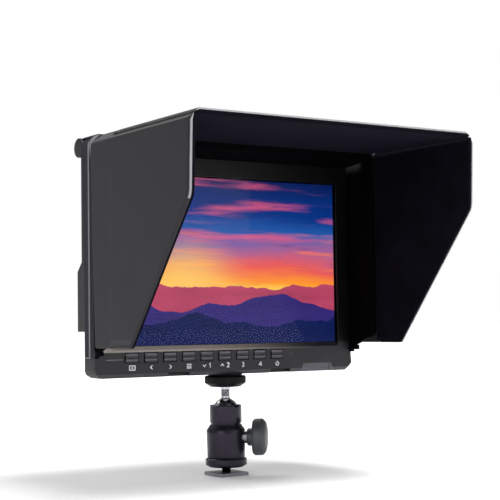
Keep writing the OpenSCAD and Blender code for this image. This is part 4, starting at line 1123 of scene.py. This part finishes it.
def ball_profile():
    """The ball from its foot pole up, a small fillet, the stem, and the camera thread."""
    neck = math.asin((stem_r + 0.9 * MM) / ball_r)
    a = np.linspace(math.pi, neck, 64)
    ball = stacked(ball_r * np.sin(a), ball_z + ball_r * np.cos(a))
    shoulder = ball[-1][1]
    foot = rounded_path([ball[-1], (stem_r, shoulder + 0.35 * MM), (stem_r, shoulder + 1.5 * MM)],
                        (1.2 * MM,))
    grooves = thread_profile(stem_r, shoulder + 1.6 * MM, disc_low - 1.6 * MM, 0.5 * MM, 0.18 * MM)
    thread = thread_profile(camera_thread_r, disc_low, stem_top - 0.4 * MM, 1.27 * MM, 0.5 * MM)
    return np.concatenate([ball, foot[1:], grooves, [(sleeve_r, disc_low - 1.3 * MM), (sleeve_r, disc_low)],
                           thread, [(2.2 * MM, stem_top), (0, stem_top)]])


stem = spun("ball_and_stem", ball_profile(), CHROME, segments=96)
hand_over(stem, "stem", "ball_stem")
print("ball and stem", len(stem.data.polygons), "faces")


# %% Lock disc, lock wheel, foot stud
def turned_path(anchors, rows, radii, steps):
    """A rounded path typed in millimetres: a row is (reference radius, radius less it, reference
    height, height less it), where the references are names in anchors."""
    points = [(anchors[r] + dr * MM, anchors[z] + dz * MM) for r, dr, z, dz in rows]
    return rounded_path(points, np.array(radii) * MM, steps)


disc_r = SPAN["lock_disc"][1][0]
# chamfer below, a gripped rim, a small step above that meets the case
disc_profile = turned_path(
    {"bore": 3.2 * MM, "rim": disc_r, "low": disc_low, "high": disc_high},
    [("bore", 0, "low", 0), ("rim", -3.2, "low", 0), ("rim", -0.7, "low", 1.8), ("rim", 0, "low", 2.2),
     ("rim", 0, "high", -1.5), ("rim", -0.7, "high", -0.8), ("rim", -2.2, "high", -0.6),
     ("rim", -2.2, "high", 0), ("bore", 0, "high", 0)],
    (0.5, 0.5, 0.3, 0.3, 0.4, 0.3, 0.2), 4)
disc = spun("lock_disc_knurled", disc_profile, BLACK_PAINT, segments=360, ridges=72, depth=0.35 * MM,
            grip=lambda r: r > disc_r - 0.45 * MM, sharp_angle=60)
disc_bevel = disc.modifiers.new("soft", "BEVEL")
disc_bevel.width = 0.05 * MM
disc_bevel.limit_method = "ANGLE"
disc_bevel.angle_limit = math.radians(60)
hand_over(disc, "disc", "lock_disc")

wheel_profile = turned_path(
    {"bore": 2.75 * MM, "rim": SPAN["lock_wheel"][1][0], "low": SPAN["lock_wheel"][0][2],
     "high": SPAN["lock_wheel"][1][2]},
    [("bore", 0, "low", 0), ("rim", -2.0, "low", 0), ("rim", 0, "low", 1.3), ("rim", 0, "high", -0.5),
     ("rim", -0.6, "high", 0), ("bore", 0, "high", 0)],
    (0.6, 0.6, 0.3, 0.3), 5)
wheel = spun("lock_wheel_turned", wheel_profile, HEAD_PAINT, segments=160)
hand_over(wheel, "shoe_wheel", "lock_wheel")
print("disc and wheel turned")

# %% Housing, collar, foot and screw
soften("ball_housing", "housing_shell", HEAD_PAINT, 0.3, "head", segments=3)
soften("ball_collar", "collar_shell", HEAD_PAINT, 0.22, "head", segments=3)
soften("foot_plate", "foot_plate_shell", STEEL, 0.2, "head")
soften("clamp_screw", "clamp_screw_shell", STEEL, 0.15, "knob")

stud_low, stud_high, stud_r = SPAN["foot_stud"][0][2], SPAN["foot_stud"][1][2], SPAN["foot_stud"][1][0]
stud_sole = stud_low + 1.2 * MM
stud_profile = np.concatenate([
    [(0, stud_sole), (1.4 * MM, stud_sole), (1.5 * MM, stud_low), (stud_r - 0.2 * MM, stud_low)],
    thread_profile(stud_r, stud_low + 1.9 * MM, stud_high - 0.5 * MM, 0.8 * MM, 0.35 * MM),
    [(stud_r - 0.6 * MM, stud_high), (0, stud_high)]])
stud = spun("foot_stud_threaded", stud_profile, BLACK_PAINT, segments=72)
hand_over(stud, "head", "foot_stud")
print("housing parts ready")

# %% Clamp knob
knob_joint = next(joint for joint in frame["joints"] if joint["name"] == "clamp_knob_turn")
knob_axis = Vector(knob_joint["axis"]).normalized()
knob_centre = Vector((0, 0, AXIS["clamp_knob_turn"][2]))
KNOB_OFF, HUB_L, HUB_R, KNOB_R, KNOB_T = 12.4 * MM, 3.2 * MM, 5.0 * MM, 10.4 * MM, 8.5 * MM
# hub, a hollowed neck, a thick rim and a domed outer face
knob_profile = turned_path(
    {"axis": 0.0, "hub": HUB_R, "rim": KNOB_R, "foot": KNOB_OFF, "low": KNOB_OFF + HUB_L,
     "face": KNOB_OFF + HUB_L + KNOB_T},
    [("axis", 0, "foot", 0), ("hub", -0.4, "foot", 0), ("hub", 0, "foot", 0.8), ("hub", 0, "low", 0),
     ("rim", -1.0, "low", 0), ("rim", 0, "low", 1.3), ("rim", 0, "face", -2.7),
     ("rim", -2.2, "face", -0.9), ("rim", -5.5, "face", -0.2), ("axis", 0, "face", 0)],
    (0.4, 0.4, 0.9, 1.0, 1.0, 2.0, 3.0, 4.0), 7)
knob = spun("clamp_knob_moulded", knob_profile, KNOB_RUBBER, segments=144)
hand_over(turn_to(knob, knob_centre, knob_axis), "knob", "clamp_knob")
print("knob turned to", [round(v, 3) for v in knob_axis])

# %% [markdown]
# ## Markings
#
# The real buttons carry printed labels. Plain signs stand in for them here: arrows, bars,
# numbers and the on sign. Each sign is a few strokes, and a stroke is a band along a line.

# %% Printed signs under the buttons
SIGN_H = 2.5 * MM
STROKE = 0.46 * MM
sign_z = lit_low - 11.9 * MM
ink_y = front_y - 0.03 * MM


def arc(centre, radius, start, stop, steps=10):
    a = np.radians(np.linspace(start, stop, steps))
    return centre + radius * stacked(np.cos(a), np.sin(a))


def chevron(*direction):
    """direction is (x, z); the point of the sign lies that way."""
    d = np.array(direction, float)
    side = np.array([-d[1], d[0]])
    return np.array([-0.22 * d + 0.42 * side, 0.25 * d, -0.22 * d - 0.42 * side])


SIGNS = [
    [[(-0.7, 0.45), (0.7, 0.45), (0.7, -0.45), (-0.7, -0.45), (-0.7, 0.45)], [(-0.3, 0), (0.3, 0)]],
    [chevron(-1, 0)],
    [chevron(1, 0)],
    [[(-0.6, h), (0.6, h)] for h in (-0.4, 0, 0.4)],
    [chevron(0, -1) - (0.8, 0), [(0.5, 0.25), (0.75, 0.48), (0.75, -0.48)]],
    [chevron(0, 1) - (0.8, 0), [*arc((0.75, 0.2), 0.28, 170, -30), (0.45, -0.48), (1.1, -0.48)]],
    [[*arc((0, 0.24), 0.25, 150, -80), *arc((0, -0.24), 0.27, 80, -150)]],
    [[(0.2, -0.5), (0.2, 0.5)], [(0.17, 0.46), (-0.35, -0.2), (0.42, -0.2)]],
    [arc((0, -0.05), 0.42, 130, 410, 20), [(0, 0.55), (0, 0.02)]]]


def stroke_band(line, width):
    """Left and right points of a band: the line plus and minus half the width along the corner
    bisector, stretched by one over the cosine of half the turn."""
    steps = unit(np.diff(line, axis=0))
    normals = np.stack([-steps[:, 1], steps[:, 0]], axis=-1)
    near = np.concatenate([normals[:1], normals])
    corner = unit(np.concatenate([normals[:1], normals[:-1] + normals[1:], normals[-1:]]))
    corner /= np.maximum((corner * near).sum(axis=1), 0.5)[:, None]
    return np.stack([line + corner * width / 2, line - corner * width / 2], axis=1)


def signs_mesh():
    """Each further stroke of a sign lies a little proud of the one before."""
    points, faces, count = [], [], 0
    for x, strokes in zip(button_xs, SIGNS):
        for layer, line in enumerate(strokes):
            flat = stroke_band(np.asarray(line, float) * SIGN_H, STROKE).reshape(-1, 2)
            points.append(stacked(x + flat[:, 0], ink_y - layer * 0.006 * MM, sign_z + flat[:, 1]))
            faces.append(count + grid_faces(len(line), 2))
            count += len(flat)
    mesh = bpy.data.meshes.new("button_signs")
    mesh.from_pydata(np.concatenate(points).tolist(), [], np.concatenate(faces).tolist())
    return mesh


signs = add_object("button_signs", signs_mesh(), INK)
wall = signs.modifiers.new("ink", "SOLIDIFY")
wall.thickness = 0.05 * MM
wall.offset = 0.0
hand_over(signs, "monitor")
print("signs", len(signs.data.polygons), "bands")


# %% Seam line beside the first button
def seam_line():
    """A thin rib on the strip, from the frame's foot to the first button, in a light grey that is
    a painted highlight.
    """
    height = lit_low - 7.3 * MM
    x = np.linspace(-half_w + 6.5 * MM, button_xs[0] - 5.6 * MM, 24)[:, None]
    a = np.linspace(0, math.pi, 7)
    points = stacked(x, front_y + 0.03 * MM - 0.16 * MM * np.sin(a), height + 0.24 * MM * np.cos(a))
    rib = grid_piece("strip_rib", end_caps(points), RIB_HIGHLIGHT, wrap_columns=True)
    hand_over(rib, "monitor")


seam_line()
print("rib in place")

# %% [markdown]
# ## Stage
#
# A product photograph on white: a white floor that keeps only a soft shadow, a bright
# surround, and four large soft lamps. One hangs above the front, the key lamp stands at the
# left, a weak one at the front right and one behind.

# %% Floor, surround and lamps
FLOOR_SIZE = 40.0
NEAR_LIGHT = 0.1
SURROUND_LIGHT = 0.32


def floor_material():
    """Seen by the camera, in gloss or through glass, the floor adds a plain light to its lit
    white, so it reads as white paper and keeps the shadow. Away from the object, where the
    lamps no longer reach, the added light alone is full white."""
    material, tree, place = start_material("white_floor")
    far = put(tree, "VectorMath", place, operation="LENGTH").outputs["Value"]
    path = put(tree, "LightPath").outputs
    seen = calc(tree, "MAXIMUM", path["Is Camera Ray"], path["Is Glossy Ray"])
    seen = calc(tree, "MAXIMUM", seen, path["Is Transmission Ray"])
    level = calc(tree, "MULTIPLY_ADD", soft_step(tree, far, 0.35, 1.1), 1 - NEAR_LIGHT, NEAR_LIGHT)
    paper = put(tree, "BsdfDiffuse", Color=(0.86, 0.86, 0.86, 1))
    light = put(tree, "Emission", Strength=calc(tree, "MULTIPLY", seen, level))
    both = put(tree, "AddShader", paper.outputs[0], light.outputs[0])
    put(tree, "OutputMaterial", Surface=both.outputs[0])
    return material


def surround():
    """White to the camera and through glass, and a weaker white light on everything else."""
    world = bpy.data.worlds.new("surround")
    world.use_nodes = True
    tree = world.node_tree
    tree.nodes.clear()
    path = put(tree, "LightPath").outputs
    seen = calc(tree, "MAXIMUM", path["Is Camera Ray"], path["Is Transmission Ray"])
    light = put(tree, "Background", Color=(1, 1, 1, 1), Strength=calc(tree, "MAXIMUM", seen, SURROUND_LIGHT))
    put(tree, "OutputWorld", Surface=light.outputs[0])
    return world


def soft_lamp(name, place, aim, size, power):
    lamp = bpy.data.lights.new(name, "AREA")
    lamp.shape = "RECTANGLE"
    lamp.size, lamp.size_y = size
    lamp.energy = power
    made = bpy.data.objects.new(name, lamp)
    made.location = place
    made.rotation_mode = "QUATERNION"
    made.rotation_quaternion = (Vector(aim) - Vector(place)).to_track_quat("-Z", "Y")
    bpy.context.scene.collection.objects.link(made)


half = FLOOR_SIZE / 2
floor_mesh = bpy.data.meshes.new("floor")
floor_corners = [(-half, -half, 0), (half, -half, 0), (half, half, 0), (-half, half, 0)]
floor_mesh.from_pydata(floor_corners, [], [(0, 1, 2, 3)])
floor = add_object("floor", floor_mesh, floor_material())
bpy.context.scene.world = surround()
soft_lamp("top_lamp", (0.25, -0.5, 1.4), (0, 0, 0.1), (0.7, 0.35), 26.0)
soft_lamp("key_lamp", (-1.6, -0.8, 0.7), (0, 0, 0.12), (1.0, 1.3), 9.5)
soft_lamp("front_lamp", (0.7, -1.8, 0.7), (0, 0, 0.1), (1.4, 0.9), 5.0)
soft_lamp("back_lamp", (0.1, 1.2, 1.5), (0, 0, 0.15), (1.4, 0.7), 12.0)
print("stage lit")
